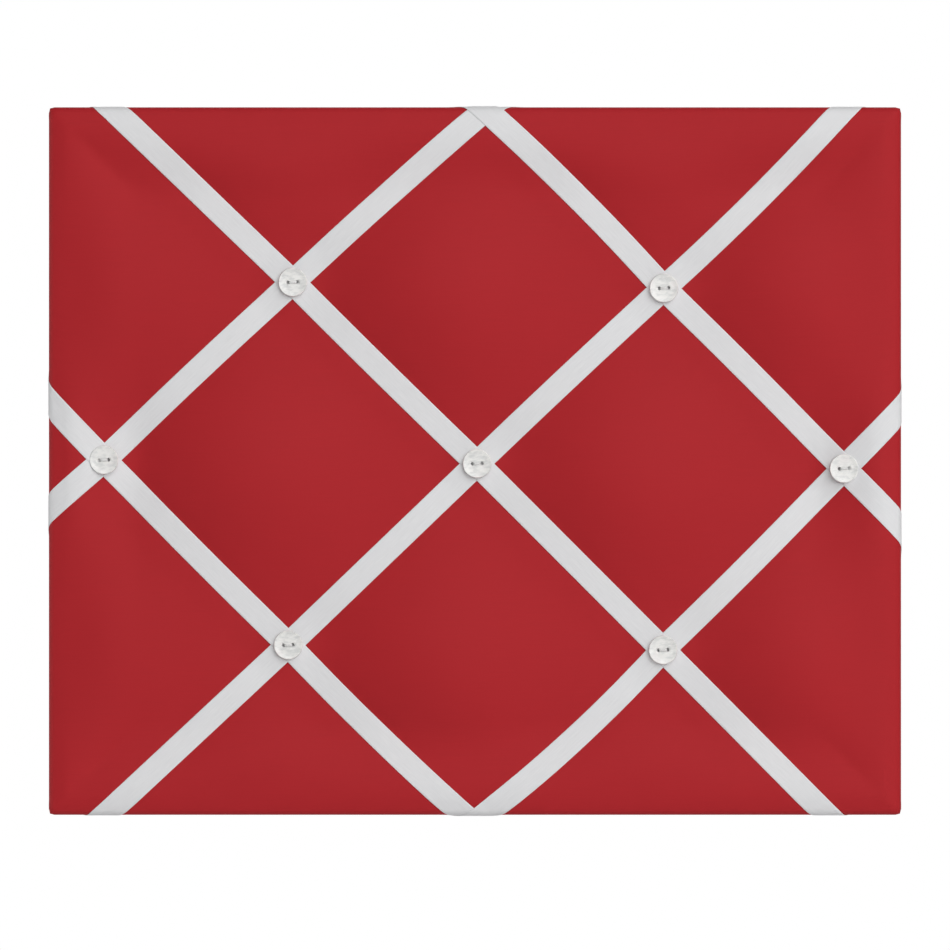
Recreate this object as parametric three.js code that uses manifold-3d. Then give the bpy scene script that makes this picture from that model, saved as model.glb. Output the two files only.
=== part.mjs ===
// French memo board: a padded cloth board with a lattice of ribbons, sewn down by buttons.
// Millimetres. X runs to the right, Z up, and the board faces -Y, with its back on the plane y = 0.
import * as THREE from 'three';
import { mergeVertices, toCreasedNormals } from 'three/addons/utils/BufferGeometryUtils.js';
import Module from 'manifold-3d';

const wasm = await Module();
wasm.setup();

// Outside of the covered board
const boardWidth = 330;
const boardHeight = 274;
const cornerRadius = 2;

// Backing board and cloth
const backingThickness = 5;
const coverThickness = 0.5;
const coverClearance = 0.15;
const hemKnotGap = 2;

// Padding: crown, rounded front edge, puffs between the ribbons and tufts under the buttons
const paddingCrown = 13;
const crownFall = 5;
const crownReach = 55;
const crownPower = 1.6;
const edgeRound = 3;
const rollReach = 6;
const rollSteps = [0.5, 0.2, 0.06, 0];
const rimCorner = 0.6;
const puffDepth = 6;
const puffFade = 30;
const puffLean = [0.25, 0.15];
const tuftDepth = 2;
const tuftReach = 18;
const tuftFade = 14;

// Ribbon lattice
const ribbonWidth = 9.5;
const ribbonThickness = 0.4;
const ribbonClearance = 0.25;
const sideButtonInset = 21.8;
const edgeCrossingRise = 2;
const latticeTilt = THREE.MathUtils.degToRad(0.8);
const latticeShift = [0.7, -1.6];
const tailLength = 21;
const shoulderShare = 0.16;
const puffShares = [0.28, 0.42, 0.6];
const rimFolds = [4, 2];
const rimMargin = 1;

// Buttons and thread
const buttonDiameter = 11.4;
const buttonHeight = 2.3;
const buttonDish = 0.7;
const buttonFootDiameter = 7.2;
const buttonClearance = 0.3;
const buttonTurn = THREE.MathUtils.degToRad(-3);
const buttonRimDiameter = 9;
const buttonDishDiameter = 7;
const holeSpacing = 3.4;
const threadDiameter = 0.8;
const threadClearance = 0.3;
const bridgeRise = 1;
const knotDiameter = 6;
const knotHeight = 1.3;
const knotFlat = 4.4;

// Staples on the ribbon tails
const stapleCrown = 7;
const stapleWire = 0.5;
const stapleTipCover = 1.5;
const stapleClearance = 0.25;
const stapleInset = 9;

// Dust cover and hangers
const dustThickness = 0.6;
const dustInset = 7;
const dustClearance = 0.2;
const hangerInset = 30;
const strapWidth = 9;
const strapLength = 22;
const strapSheet = 0.8;
const strapLeafGap = 0.2;
const strapNeckBend = 0.3;
const ringWire = 2;
const ringClearance = 0.15;
const ringSpan = 15;
const ringReach = 12;
const ringBend = 2.2;
const ringSeam = 0.4;
const ringRestAngle = THREE.MathUtils.degToRad(5.5);
const screwShank = 2.4;
const screwHead = 6;
const screwHeadHeight = 1.8;
const screwHeadEdge = 0.8;
const screwHeadFlat = 2.4;
const screwPoint = 2.4;
const recessSpan = 3.4;
const recessWidth = 0.8;
const recessDepth = 1.1;
const screwTipCover = 1.6;
const screwClearance = 0.3;

// Facet counts and cutting allowances
const buttonSides = 18;
const threadSides = 6;
const bridgeSteps = 6;
const roundSteps = 2;
const wireSides = 8;
const ringSteps = 30;
const cornerSteps = 3;
const creaseAngle = Math.PI / 6;
const cutAllowance = 1;
const weldTolerance = 1e-4;

// Worked-out sizes
const coverIn = coverClearance;
const coverOut = coverIn + coverThickness;
const ribbonIn = coverOut + ribbonClearance;
const ribbonOut = ribbonIn + ribbonThickness;
const ribbonLift = ribbonThickness + ribbonClearance;
const coreHalfX = boardWidth / 2 - coverOut;
const coreHalfZ = boardHeight / 2 - coverOut;
const coreCorner = cornerRadius - coverOut;
const tailSpace = ribbonOut + stapleClearance + stapleWire;
const knotSpace = threadClearance + knotHeight;
const backSpace = Math.max(tailSpace, knotSpace) + dustClearance;
const hemWidth = sideButtonInset - coverOut - knotDiameter / 2 - hemKnotGap;
const frontPlane = -(dustThickness + backSpace + backingThickness);
const backPlane = frontPlane + backingThickness;
const pitchX = (boardWidth / 2 - sideButtonInset) / 2;
const pitchZ = (boardHeight / 2 + edgeCrossingRise) / 2;
const pitch = Math.hypot(pitchX, pitchZ);
const seatHalf = (Math.max(ribbonWidth, buttonDiameter) / 2 + ribbonClearance) / pitch;
const ribbonHalf = ribbonWidth / 2 / pitch;
const ribbonEdges = [-ribbonHalf, ribbonHalf];
const loopInside = ringWire / 2 + ringClearance;
const loopOutside = loopInside + strapSheet;
const leafTop = 2 * strapSheet + strapLeafGap;
const screwLength = leafTop - frontPlane - screwTipCover;

// Hand-laid lattice: how far each crossing lies from its even place, right and up
const crossingOffsets = {
  '0,0': [0.1, 0.6],
  '0,-1': [-0.6, 0.3],
  '1,0': [-0.2, 0],
  '-1,0': [-0.4, -1.1],
  '0,1': [1.4, -1],
  '1,1': [-1.2, 0.7],
  '-1,-1': [-1, 0],
  '1,-1': [1.4, -1.5],
  '-1,1': [0.5, 0.4],
  '0,-2': [-2.8, -0.1],
  '0,2': [1.6, -2],
  '2,0': [-1.6, 2.7],
  '-2,0': [-0.8, -0.6],
  '-1,-2': [-0.5, 3.2],
  '-2,-1': [-2, 4.2],
  '1,2': [-0.9, -0.4],
  '2,1': [-4, 3.8],
};

// Ribbon spans that bow sideways between two crossings
const bowedSpans = [
  { rising: true, line: -1, from: -1, bow: -0.4 },
  { rising: true, line: -1, from: 0, bow: -0.6 },
  { rising: true, line: 0, from: 0, bow: -0.3 },
  { rising: true, line: 0, from: 1, bow: 1.3 },
  { rising: true, line: 1, from: -1, bow: 2.3 },
  { rising: true, line: 1, from: 0, bow: 0.4 },
  { rising: false, line: -1, from: -1, bow: -0.3 },
  { rising: false, line: -1, from: 0, bow: -1.1 },
  { rising: false, line: 0, from: -1, bow: -0.3 },
  { rising: false, line: 1, from: -1, bow: 1.3 },
  { rising: false, line: 1, from: 0, bow: 0.3 },
];

const buttonCrossings = {
  centre: [0, 0],
  upper_left: [0, -1],
  upper_right: [1, 0],
  lower_left: [-1, 0],
  lower_right: [0, 1],
  left: [-1, -1],
  right: [1, 1],
};

// Finishes
function finish(color, roughness, metalness = 0) {
  return new THREE.MeshStandardMaterial({ color, roughness, metalness });
}
const hardboard = finish(0x8f6f4c, 0.8);
const wadding = finish(0xf1f0ea, 0.95);
const redCotton = finish(0xa72a2e, 0.85);
const whiteRibbon = finish(0xd6d5d6, 0.6);
const pearl = finish(0xe9e8e2, 0.25);
const whiteThread = finish(0xf0efea, 0.8);
const blackFelt = finish(0x2c2c2e, 0.95);
const nickel = finish(0xb9bbbd, 0.3, 1);

// Solids: closed meshes in and out of the boolean library
function toSolid(geometry) {
  const bare = geometry.clone();
  bare.deleteAttribute('normal');
  bare.deleteAttribute('uv');
  const welded = mergeVertices(bare, weldTolerance);
  const mesh = new wasm.Mesh({
    numProp: 3,
    vertProperties: welded.attributes.position.array,
    triVerts: Uint32Array.from(welded.index.array),
  });
  return new wasm.Manifold(mesh);
}

function toGeometry(solid) {
  const mesh = solid.getMesh();
  const geometry = new THREE.BufferGeometry();
  geometry.setAttribute('position', new THREE.BufferAttribute(mesh.vertProperties, 3));
  geometry.setIndex(new THREE.BufferAttribute(mesh.triVerts, 1));
  return geometry;
}

function cut(geometry, cutters) {
  let solid = toSolid(geometry);
  for (const cutter of cutters) {
    solid = solid.subtract(toSolid(cutter));
  }
  return toGeometry(solid);
}

function join(first, second) {
  return toGeometry(toSolid(first).add(toSolid(second)));
}

// A closed mesh from triangles of points, turned so that its faces point out
function closedMesh(triangles) {
  let volume = 0;
  for (const [p, q, r] of triangles) {
    volume += p.dot(new THREE.Vector3().crossVectors(q, r));
  }
  const corners = [];
  for (const [p, q, r] of triangles) {
    const turned = volume > 0 ? [p, q, r] : [p, r, q];
    corners.push(...turned);
  }
  return new THREE.BufferGeometry().setFromPoints(corners);
}

// A route with one station at each of its points, close together only where it bends
class StationRoute extends THREE.Curve {
  constructor(stations) {
    super();
    this.stations = stations;
  }

  getPointAt(share) {
    const place = share * (this.stations.length - 1);
    const index = Math.min(Math.floor(place), this.stations.length - 2);
    return this.stations[index].clone().lerp(this.stations[index + 1], place - index);
  }

  getTangentAt(share) {
    const index = Math.round(share * (this.stations.length - 1));
    const here = this.stations[index];
    const before = this.stations[Math.max(index - 1, 0)];
    const after = this.stations[Math.min(index + 1, this.stations.length - 1)];
    const arriving = here.clone().sub(before).normalize();
    const leaving = after.clone().sub(here).normalize();
    return arriving.add(leaving).normalize();
  }
}

// A cylinder whose axis runs front to back
function rod(radius, yFrom, yTo, sides, x, z) {
  const geometry = new THREE.CylinderGeometry(radius, radius, yTo - yFrom, sides);
  geometry.translate(x, (yFrom + yTo) / 2, z);
  return geometry;
}

// Lattice: (a, b) counts crossings up to the right and down to the right
const riseDirection = new THREE.Vector2(pitchX, pitchZ).normalize();
const fallDirection = new THREE.Vector2(pitchX, -pitchZ).normalize();

function crossing(i, j) {
  const [dx, dz] = crossingOffsets[`${i},${j}`] ?? [0, 0];
  const even = new THREE.Vector2((i + j) * pitchX, (i - j) * pitchZ);
  even.rotateAround(new THREE.Vector2(), -latticeTilt);
  return even.add(new THREE.Vector2(latticeShift[0] + dx, latticeShift[1] + dz));
}

function layPoint(a, b) {
  const i = Math.floor(a);
  const j = Math.floor(b);
  const near = crossing(i, j).lerp(crossing(i + 1, j), a - i);
  const far = crossing(i, j + 1).lerp(crossing(i + 1, j + 1), a - i);
  const point = near.lerp(far, b - j);
  for (const span of bowedSpans) {
    const [along, across] = span.rising ? [a, b] : [b, a];
    const run = along - span.from;
    const aside = Math.abs(across - span.line);
    if (run > 0 && run < 1 && aside < 1) {
      const bow = span.bow * 4 * run * (1 - run) * (1 - aside);
      point.addScaledVector(span.rising ? fallDirection : riseDirection, bow);
    }
  }
  return point;
}

// Padding: height of its front over the backing board
const rimHalfX = coreHalfX - rollReach;
const rimHalfZ = coreHalfZ - rollReach;

function edgeDrop(inset) {
  const out = Math.max(0, 1 - inset / crownReach);
  const corner = Math.max(0, 1 - inset / edgeRound);
  const fall = crownFall * (1 - (1 - out ** crownPower) ** (1 / crownPower));
  return fall + edgeRound * (1 - Math.sqrt(1 - corner ** 2));
}

// Rise of a puff from one ribbon to the next, leaning towards the first
function swell(run, lean) {
  const part = Math.PI * (run - Math.floor(run));
  return Math.sin(part) * (1 + 2 * lean * Math.cos(part));
}

const buttonPlaces = Object.values(buttonCrossings).map(([i, j]) => crossing(i, j));

function paddingHeight(a, b) {
  const i = Math.round(a);
  const j = Math.round(b);
  const reach = seatHalf + weldTolerance;
  const sewn = Object.values(buttonCrossings).some(([m, n]) => m === i && n === j);
  const seated = sewn && Math.abs(a - i) <= reach && Math.abs(b - j) <= reach;
  const point = seated ? crossing(i, j) : layPoint(a, b);
  const inset = Math.min(coreHalfX - Math.abs(point.x), coreHalfZ - Math.abs(point.y));
  const puff = seated ? 0 : swell(a, puffLean[0]) * swell(b, puffLean[1]);
  const groove = puffDepth * (1 - puff);
  let tuft = 0;
  for (const place of buttonPlaces) {
    tuft += tuftDepth * Math.exp(-((point.distanceTo(place) / tuftReach) ** 2));
  }
  const grooveShare = THREE.MathUtils.smoothstep(inset, rollReach, rollReach + puffFade);
  const tuftShare = THREE.MathUtils.smoothstep(inset, rollReach, rollReach + tuftFade);
  const crown = paddingCrown - edgeDrop(Math.max(inset, rollReach));
  return crown - grooveShare * groove - tuftShare * tuft;
}

const rimHeight = paddingCrown - edgeDrop(rollReach);

function at(x, z, forward) {
  return new THREE.Vector3(x, frontPlane - forward, z);
}

// Lattice lines that the soft layers fold along
const latticeReach = 3;
const lineFractions = [seatHalf, shoulderShare, ...puffShares, 1 - shoulderShare, 1 - seatHalf];
const latticeLines = [];
for (let whole = -latticeReach; whole < latticeReach; whole += 1) {
  for (const fraction of lineFractions) {
    latticeLines.push(whole + fraction);
  }
}

// Front of the padding inside the rolled rim: lattice cells, clipped to the rim's rectangle
function clipToRim(corners) {
  const sides = [
    ['x', 1, rimHalfX],
    ['x', -1, rimHalfX],
    ['z', 1, rimHalfZ],
    ['z', -1, rimHalfZ],
  ];
  let polygon = corners;
  for (const [axis, sign, limit] of sides) {
    const kept = [];
    polygon.forEach((here, index) => {
      const next = polygon[(index + 1) % polygon.length];
      const hereOver = here[axis] * sign - limit;
      const nextOver = next[axis] * sign - limit;
      if (hereOver <= 0) {
        kept.push(here);
      }
      if (hereOver * nextOver < 0) {
        const share = hereOver / (hereOver - nextOver);
        const x = here.x + (next.x - here.x) * share;
        const z = here.z + (next.z - here.z) * share;
        kept.push({ x, z, height: rimHeight, [axis]: sign * limit });
      }
    });
    polygon = kept;
  }
  return polygon;
}

// A twisted cell folds along its lower diagonal, so the cloth sinks between its corners
function valleyFirst(polygon) {
  const lowest = polygon.reduce((best, corner, index) => {
    const facing = polygon[(index + 2) % polygon.length];
    const sum = corner.height + (polygon.length === 4 ? facing.height : 0);
    return sum < best.sum ? { sum, index } : best;
  }, { sum: Infinity, index: 0 });
  return [...polygon.slice(lowest.index), ...polygon.slice(0, lowest.index)];
}

function quiltPolygons() {
  const polygons = [];
  for (let m = 0; m + 1 < latticeLines.length; m += 1) {
    for (let n = 0; n + 1 < latticeLines.length; n += 1) {
      const steps = [[m, n], [m + 1, n], [m + 1, n + 1], [m, n + 1]];
      const corners = steps.map(([row, column]) => {
        const a = latticeLines[row];
        const b = latticeLines[column];
        const point = layPoint(a, b);
        return { x: point.x, z: point.y, height: paddingHeight(a, b) };
      });
      const polygon = clipToRim(corners);
      if (polygon.length > 2) {
        polygons.push(valleyFirst(polygon));
      }
    }
  }
  return polygons;
}

const quilt = quiltPolygons();

// The rim's rectangle, as the quilt's border points in order round each of its four sides
const rimSides = [
  { axis: 'z', limit: rimHalfZ, order: (p) => p.x },
  { axis: 'x', limit: rimHalfX, order: (p) => -p.z },
  { axis: 'z', limit: -rimHalfZ, order: (p) => -p.x },
  { axis: 'x', limit: -rimHalfX, order: (p) => p.z },
];

function rimSidePoints(side) {
  const points = quilt.flat().filter((p) => Math.abs(p[side.axis] - side.limit) < weldTolerance);
  points.sort((p, q) => side.order(p) - side.order(q));
  return points.filter((p, index) => {
    const before = points[index - 1] ?? { x: Infinity, z: Infinity };
    return Math.abs(side.order(p) - side.order(before)) > weldTolerance;
  });
}

const rim = rimSides.map(rimSidePoints);

// Section of the rolled edge from the rim to the back, with the way a thickness pushes each corner
const edgeSection = rollSteps.map((step) => {
  const inset = rollReach * step;
  return { out: -inset, forward: paddingCrown - edgeDrop(inset) };
});
edgeSection.unshift({ out: -rollReach, forward: rimHeight });
const sideBack = { out: 0, forward: -backingThickness };
const hemEdge = { out: -hemWidth, forward: -backingThickness };

function layerPush(index) {
  if (index === 0) {
    return { out: 0, forward: 1 };
  }
  const normals = [[index - 1, index], [index, index + 1]].map(([from, to]) => {
    const start = edgeSection[from];
    const end = edgeSection[to] ?? sideBack;
    const length = Math.hypot(end.out - start.out, end.forward - start.forward);
    return [(start.forward - end.forward) / length, (end.out - start.out) / length];
  });
  const [first, second] = normals;
  const share = 1 + first[0] * second[0] + first[1] * second[1];
  return { out: (first[0] + second[0]) / share, forward: (first[1] + second[1]) / share };
}

edgeSection.forEach((corner, index) => {
  corner.push = layerPush(index);
});
sideBack.push = { out: 1, forward: -1 };
hemEdge.push = { out: 0, forward: -1 };

function sectionPoint(corner, thickness) {
  return {
    out: corner.out + corner.push.out * thickness,
    forward: corner.forward + corner.push.forward * thickness,
  };
}

// One level of the edge: a rounded rectangle, clockwise from the upper left corner as seen from the front
function edgeRing(corner, thickness) {
  const { out, forward } = sectionPoint(corner, thickness);
  const radius = Math.max(coreCorner * (1 + out / rollReach), rimCorner);
  const centreX = coreHalfX + out - radius;
  const centreZ = coreHalfZ + out - radius;
  const ring = [];
  for (let quarter = 0; quarter < 4; quarter += 1) {
    for (let step = 0; step <= cornerSteps; step += 1) {
      const angle = Math.PI - (quarter + step / cornerSteps) * (Math.PI / 2);
      const signX = quarter === 0 || quarter === 3 ? -1 : 1;
      const signZ = quarter < 2 ? 1 : -1;
      const x = signX * centreX + radius * Math.cos(angle);
      const z = signZ * centreZ + radius * Math.sin(angle);
      ring.push(at(x, z, forward));
    }
  }
  return ring;
}

function band(first, second) {
  const triangles = [];
  first.forEach((point, index) => {
    const next = (index + 1) % first.length;
    triangles.push([point, first[next], second[next]]);
    triangles.push([point, second[next], second[index]]);
  });
  return triangles;
}

function fan(points) {
  return points.slice(2).map((point, index) => [points[0], points[index + 1], point]);
}

// The quilted front with its rolled edge, at one thickness over the padding
function softFront(thickness) {
  const lifted = (p) => at(p.x, p.z, p.height + thickness);
  const triangles = quilt.flatMap((polygon) => fan(polygon.map(lifted)).map(([p, q, r]) => [p, r, q]));
  const rings = edgeSection.slice(1).map((corner) => edgeRing(corner, thickness));
  const [outer] = rings;
  rim.forEach((side, index) => {
    const points = side.map(lifted);
    const corner = index * (cornerSteps + 1);
    const start = outer[corner + cornerSteps];
    const end = outer[(corner + cornerSteps + 1) % outer.length];
    const middle = Math.floor(points.length / 2);
    points.slice(1).forEach((point, step) => {
      triangles.push([points[step], point, step < middle ? start : end]);
    });
    triangles.push([points[middle], end, start]);
    for (let step = 0; step < cornerSteps; step += 1) {
      triangles.push([points[0], outer[corner + step + 1], outer[corner + step]]);
    }
  });
  rings.slice(1).forEach((ring, index) => {
    triangles.push(...band(rings[index], ring));
  });
  return { triangles, last: rings.at(-1) };
}

function reversed(triangles) {
  return triangles.map(([p, q, r]) => [p, r, q]);
}

// Needle holes: two under every button, through every layer
function buttonFrame(i, j) {
  const place = crossing(i, j);
  const seat = paddingHeight(i, j) + ribbonOut + ribbonLift + buttonClearance;
  const across = new THREE.Vector2(holeSpacing / 2, 0).rotateAround(new THREE.Vector2(), buttonTurn);
  return { place, across, footY: frontPlane - seat };
}

const needleRadius = threadDiameter / 2 + threadClearance;
const needleHoles = [];
for (const [i, j] of Object.values(buttonCrossings)) {
  const { place, across, footY } = buttonFrame(i, j);
  for (const sign of [-1, 1]) {
    const x = place.x + sign * across.x;
    const z = place.y + sign * across.y;
    needleHoles.push(rod(needleRadius, footY, 0, threadSides, x, z));
  }
}

// Ribbons: each runs along one lattice line, and wraps round the edge onto the back
function wrapLengths(thickness) {
  const corners = [...edgeSection, sideBack].map((corner) => sectionPoint(corner, thickness));
  const lengths = [0];
  corners.slice(1).forEach((corner, index) => {
    const before = corners[index];
    lengths.push(lengths[index] + Math.hypot(corner.out - before.out, corner.forward - before.forward));
  });
  return lengths;
}

const wrapStops = wrapLengths(ribbonIn);
const backStop = wrapStops.at(-1);
const turnStop = wrapStops.at(-2);
const boardSides = [
  { out: new THREE.Vector2(0, 1), along: new THREE.Vector2(1, 0), half: coreHalfZ },
  { out: new THREE.Vector2(1, 0), along: new THREE.Vector2(0, 1), half: coreHalfX },
  { out: new THREE.Vector2(0, -1), along: new THREE.Vector2(1, 0), half: coreHalfZ },
  { out: new THREE.Vector2(-1, 0), along: new THREE.Vector2(0, 1), half: coreHalfX },
];

// A point of a layer wrapped round one side: how far along it, and how far past the rim over the surface
function wrapPoint(side, along, past, thickness) {
  let section = null;
  if (past >= backStop) {
    const { out, forward } = sectionPoint(sideBack, thickness);
    section = { out: out - (past - backStop), forward };
  } else {
    const stop = wrapStops.findLastIndex((length) => length <= past);
    const share = (past - wrapStops[stop]) / (wrapStops[stop + 1] - wrapStops[stop]);
    const start = sectionPoint(edgeSection[stop], thickness);
    const end = sectionPoint(edgeSection[stop + 1] ?? sideBack, thickness);
    section = {
      out: start.out + (end.out - start.out) * share,
      forward: start.forward + (end.forward - start.forward) * share,
    };
  }
  const plan = side.along.clone().multiplyScalar(along).addScaledVector(side.out, side.half + section.out);
  return at(plan.x, plan.y, section.forward);
}

function sidePast(side, point) {
  return point.dot(side.out) - (side.half - rollReach);
}

// The furthest place along a ribbon at which a condition still holds
function lastRun(outward, holds) {
  let low = 0;
  let high = latticeReach * outward;
  while (Math.abs(high - low) > weldTolerance / pitch) {
    const middle = (low + high) / 2;
    [low, high] = holds(middle) ? [middle, high] : [low, middle];
  }
  return low;
}

// The end of a ribbon: its stations from the rim round to the tail, turned square to the edge near a corner
function ribbonEnd(line, outward, raised) {
  const onFront = (run) => boardSides.every((side) => sidePast(side, line.pointOn(run, 0)) < 0);
  const leaveRun = lastRun(outward, onFront);
  const leave = line.pointOn(leaveRun, 0);
  const pasts = boardSides.map((side) => sidePast(side, leave));
  const side = boardSides[pasts.indexOf(Math.max(...pasts))];
  const heading = leave.clone().sub(line.pointOn(leaveRun - outward * seatHalf, 0)).normalize();
  const aside = new THREE.Vector2(-heading.y, heading.x);
  const hand = Math.sign(aside.dot(line.pointOn(leaveRun, ribbonHalf).sub(leave)));
  aside.multiplyScalar(hand * ribbonWidth / 2);
  const edges = [-1, 1].map((sign) => leave.clone().addScaledVector(aside, sign));
  const climb = heading.dot(side.out);
  const drift = heading.dot(side.along);
  const slantAt = (past, point) => point.dot(side.along) + drift * (past - sidePast(side, point)) / climb;
  const alongAt = (past, point) => {
    if (!line.squared || past < turnStop) {
      return slantAt(past, point);
    }
    const slant = slantAt(turnStop, point);
    const centre = slantAt(turnStop, leave);
    const square = centre + Math.sign(slant - centre) * ribbonWidth / 2;
    const turn = Math.min((past - turnStop) / (backStop - turnStop), 1);
    return THREE.MathUtils.lerp(slant, point === leave ? centre : square, turn);
  };
  const stationAt = (past, lift) => ({
    points: edges.map((edge) => ({ along: alongAt(past, edge), past })),
    lift,
    side,
  });
  const runTo = (offset, inset) => lastRun(outward, (run) => {
    return sidePast(side, line.pointOn(run, offset)) < -inset;
  });
  const folds = rimFolds.map((fold) => ({
    points: ribbonEdges.map((offset) => line.stationPoint(runTo(offset, fold), offset)),
    lift: 0,
  }));
  const wraps = wrapStops.map((past) => stationAt(past, raised));
  const tail = [ribbonWidth / 2, tailLength].map((inset) => stationAt(backStop + inset, 0));
  const staple = {
    side,
    past: backStop + stapleInset,
    along: alongAt(backStop + stapleInset, leave),
    heading: line.squared ? new THREE.Vector2(0, 1) : new THREE.Vector2(drift, climb),
  };
  return {
    limits: ribbonEdges.map((offset) => runTo(offset, rimFolds[0] + rimMargin)),
    stations: [...folds, ...wraps, ...tail],
    staple,
  };
}

function stationCorners(station) {
  const corners = [];
  for (const thickness of [ribbonIn, ribbonOut]) {
    const lifted = thickness + station.lift * ribbonLift;
    station.points.forEach((point) => {
      if (station.side) {
        corners.push(wrapPoint(station.side, point.along, point.past, lifted));
      } else {
        corners.push(at(point.x, point.z, point.height + lifted));
      }
    });
  }
  const [left, right, leftTop, rightTop] = corners;
  return [left, right, rightTop, leftTop];
}

function ribbonLine({ rising, line, squared }) {
  const lattice = (run, aside) => (rising ? [run, line + aside] : [line + aside, run]);
  const pointOn = (run, aside) => layPoint(...lattice(run, aside));
  const heightOn = (run, aside) => paddingHeight(...lattice(run, aside));
  const stationPoint = (run, aside, height = heightOn(run, aside)) => {
    const place = pointOn(run, aside);
    return { x: place.x, z: place.y, height };
  };
  const sewnAt = (run) => {
    const [a, b] = lattice(run, 0);
    return Object.values(buttonCrossings).some(([i, j]) => i === a && j === b);
  };
  return { squared, pointOn, heightOn, stationPoint, sewnAt };
}

function ribbonRoute(ribbon) {
  const line = ribbonLine(ribbon);
  const first = ribbonEnd(line, -1, ribbon.raisedFrom);
  const last = ribbonEnd(line, 1, ribbon.raisedTo);
  const stations = [];
  for (const run of latticeLines) {
    const runs = ribbonEdges.map((_, edge) => {
      return THREE.MathUtils.clamp(run, first.limits[edge], last.limits[edge]);
    });
    if (!runs.includes(run)) {
      continue;
    }
    const crossed = Math.round(run);
    const onCrossing = line.sewnAt(crossed) && Math.abs(run - crossed) < 2 * seatHalf;
    const points = ribbonEdges.map((offset, edge) => {
      const seats = [-seatHalf, seatHalf].map((seat) => line.heightOn(runs[edge], seat));
      const height = THREE.MathUtils.lerp(...seats, (1 + offset / seatHalf) / 2);
      return line.stationPoint(runs[edge], offset, height);
    });
    stations.push({ points, lift: !ribbon.rising && onCrossing ? 1 : 0 });
  }
  return { stations: [...first.stations.reverse(), ...stations, ...last.stations], ends: [first, last] };
}

// A ribbon's twisted stretch folds along its higher diagonal, above the cloth
function ribbonLoft(sections) {
  const triangles = [];
  sections.slice(1).forEach((section, index) => {
    const before = sections[index];
    const straight = -before[0].y - section[1].y;
    const crossed = -before[1].y - section[0].y;
    before.forEach((point, corner) => {
      const next = (corner + 1) % before.length;
      const upper = corner === 2;
      if ((straight > crossed) !== upper) {
        triangles.push([point, before[next], section[next]]);
        triangles.push([point, section[next], section[corner]]);
      } else {
        triangles.push([point, before[next], section[corner]]);
        triangles.push([before[next], section[next], section[corner]]);
      }
    });
  });
  triangles.push(...reversed(fan(sections[0])));
  triangles.push(...fan(sections.at(-1)));
  return closedMesh(triangles);
}

const ribbons = {
  ribbon_fall_left: { rising: false, line: -1, squared: false, raisedFrom: 0, raisedTo: 0 },
  ribbon_fall_middle: { rising: false, line: 0, squared: true, raisedFrom: 0, raisedTo: 0 },
  ribbon_fall_right: { rising: false, line: 1, squared: false, raisedFrom: 1, raisedTo: 0 },
  ribbon_rise_left: { rising: true, line: -1, squared: false, raisedFrom: 0, raisedTo: 0 },
  ribbon_rise_middle: { rising: true, line: 0, squared: true, raisedFrom: 0, raisedTo: 0 },
  ribbon_rise_right: { rising: true, line: 1, squared: false, raisedFrom: 1, raisedTo: 0 },
};

// Staples: a wire crown on the ribbon tail, with its two legs in the board
function stapleShape(spare) {
  const half = stapleCrown / 2;
  const inner = half - stapleWire - spare;
  const legEnd = -tailSpace + stapleWire - backingThickness + stapleTipCover - spare;
  const shape = new THREE.Shape();
  shape.moveTo(-half - spare, stapleWire);
  shape.lineTo(-half - spare, legEnd);
  shape.lineTo(-inner, legEnd);
  shape.lineTo(-inner, 0);
  shape.lineTo(inner, 0);
  shape.lineTo(inner, legEnd);
  shape.lineTo(half + spare, legEnd);
  shape.lineTo(half + spare, stapleWire);
  return shape;
}

function stapleGeometry(end, spare) {
  const depth = stapleWire + 2 * spare;
  const geometry = new THREE.ExtrudeGeometry(stapleShape(spare), { depth, bevelEnabled: false });
  geometry.translate(0, 0, -depth / 2);
  const seat = wrapPoint(end.side, end.along, end.past, ribbonOut);
  const { out, along } = end.side;
  const run = along.clone().multiplyScalar(end.heading.x).addScaledVector(out, -end.heading.y);
  geometry.rotateY(-Math.atan2(run.y, run.x) + Math.PI / 2);
  geometry.translate(seat.x, seat.y + stapleClearance, seat.z);
  return geometry;
}

// Assembly
const memoBoard = new THREE.Group();

function addPiece(name, geometry, material, parent = memoBoard) {
  const mesh = new THREE.Mesh(toCreasedNormals(geometry, creaseAngle), material);
  mesh.name = name;
  parent.add(mesh);
  return mesh;
}

// Hanger screws stand where the strap's hole is
function hangerGroup(turn, reach) {
  const group = new THREE.Group();
  group.rotation.y = turn;
  group.position.set(Math.sin(turn) * reach, 0, Math.cos(turn) * reach);
  return group;
}

const hangers = {
  top: hangerGroup(0, boardHeight / 2 - hangerInset),
  side: hangerGroup(Math.PI / 2, boardWidth / 2 - hangerInset),
};
const screwDrop = strapLength - strapWidth / 2;
const screwHoles = Object.values(hangers).map((group) => {
  const place = new THREE.Vector3(0, 0, -screwDrop).applyEuler(group.rotation).add(group.position);
  const tip = frontPlane + screwTipCover - screwClearance;
  return rod(screwShank / 2 + screwClearance, tip, leafTop, wireSides, place.x, place.z);
});

// Backing board
function roundedRectangle(halfX, halfZ, radius) {
  const shape = new THREE.Shape();
  shape.absarc(halfX - radius, halfZ - radius, radius, 0, Math.PI / 2);
  shape.absarc(radius - halfX, halfZ - radius, radius, Math.PI / 2, Math.PI);
  shape.absarc(radius - halfX, radius - halfZ, radius, Math.PI, 1.5 * Math.PI);
  shape.absarc(halfX - radius, radius - halfZ, radius, 1.5 * Math.PI, 2 * Math.PI);
  return shape;
}

function sheetGeometry(shape, thickness, yFront) {
  const geometry = new THREE.ExtrudeGeometry(shape, {
    depth: thickness,
    bevelEnabled: false,
    curveSegments: cornerSteps,
  });
  geometry.rotateX(Math.PI / 2);
  geometry.translate(0, yFront + thickness, 0);
  return geometry;
}

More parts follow.
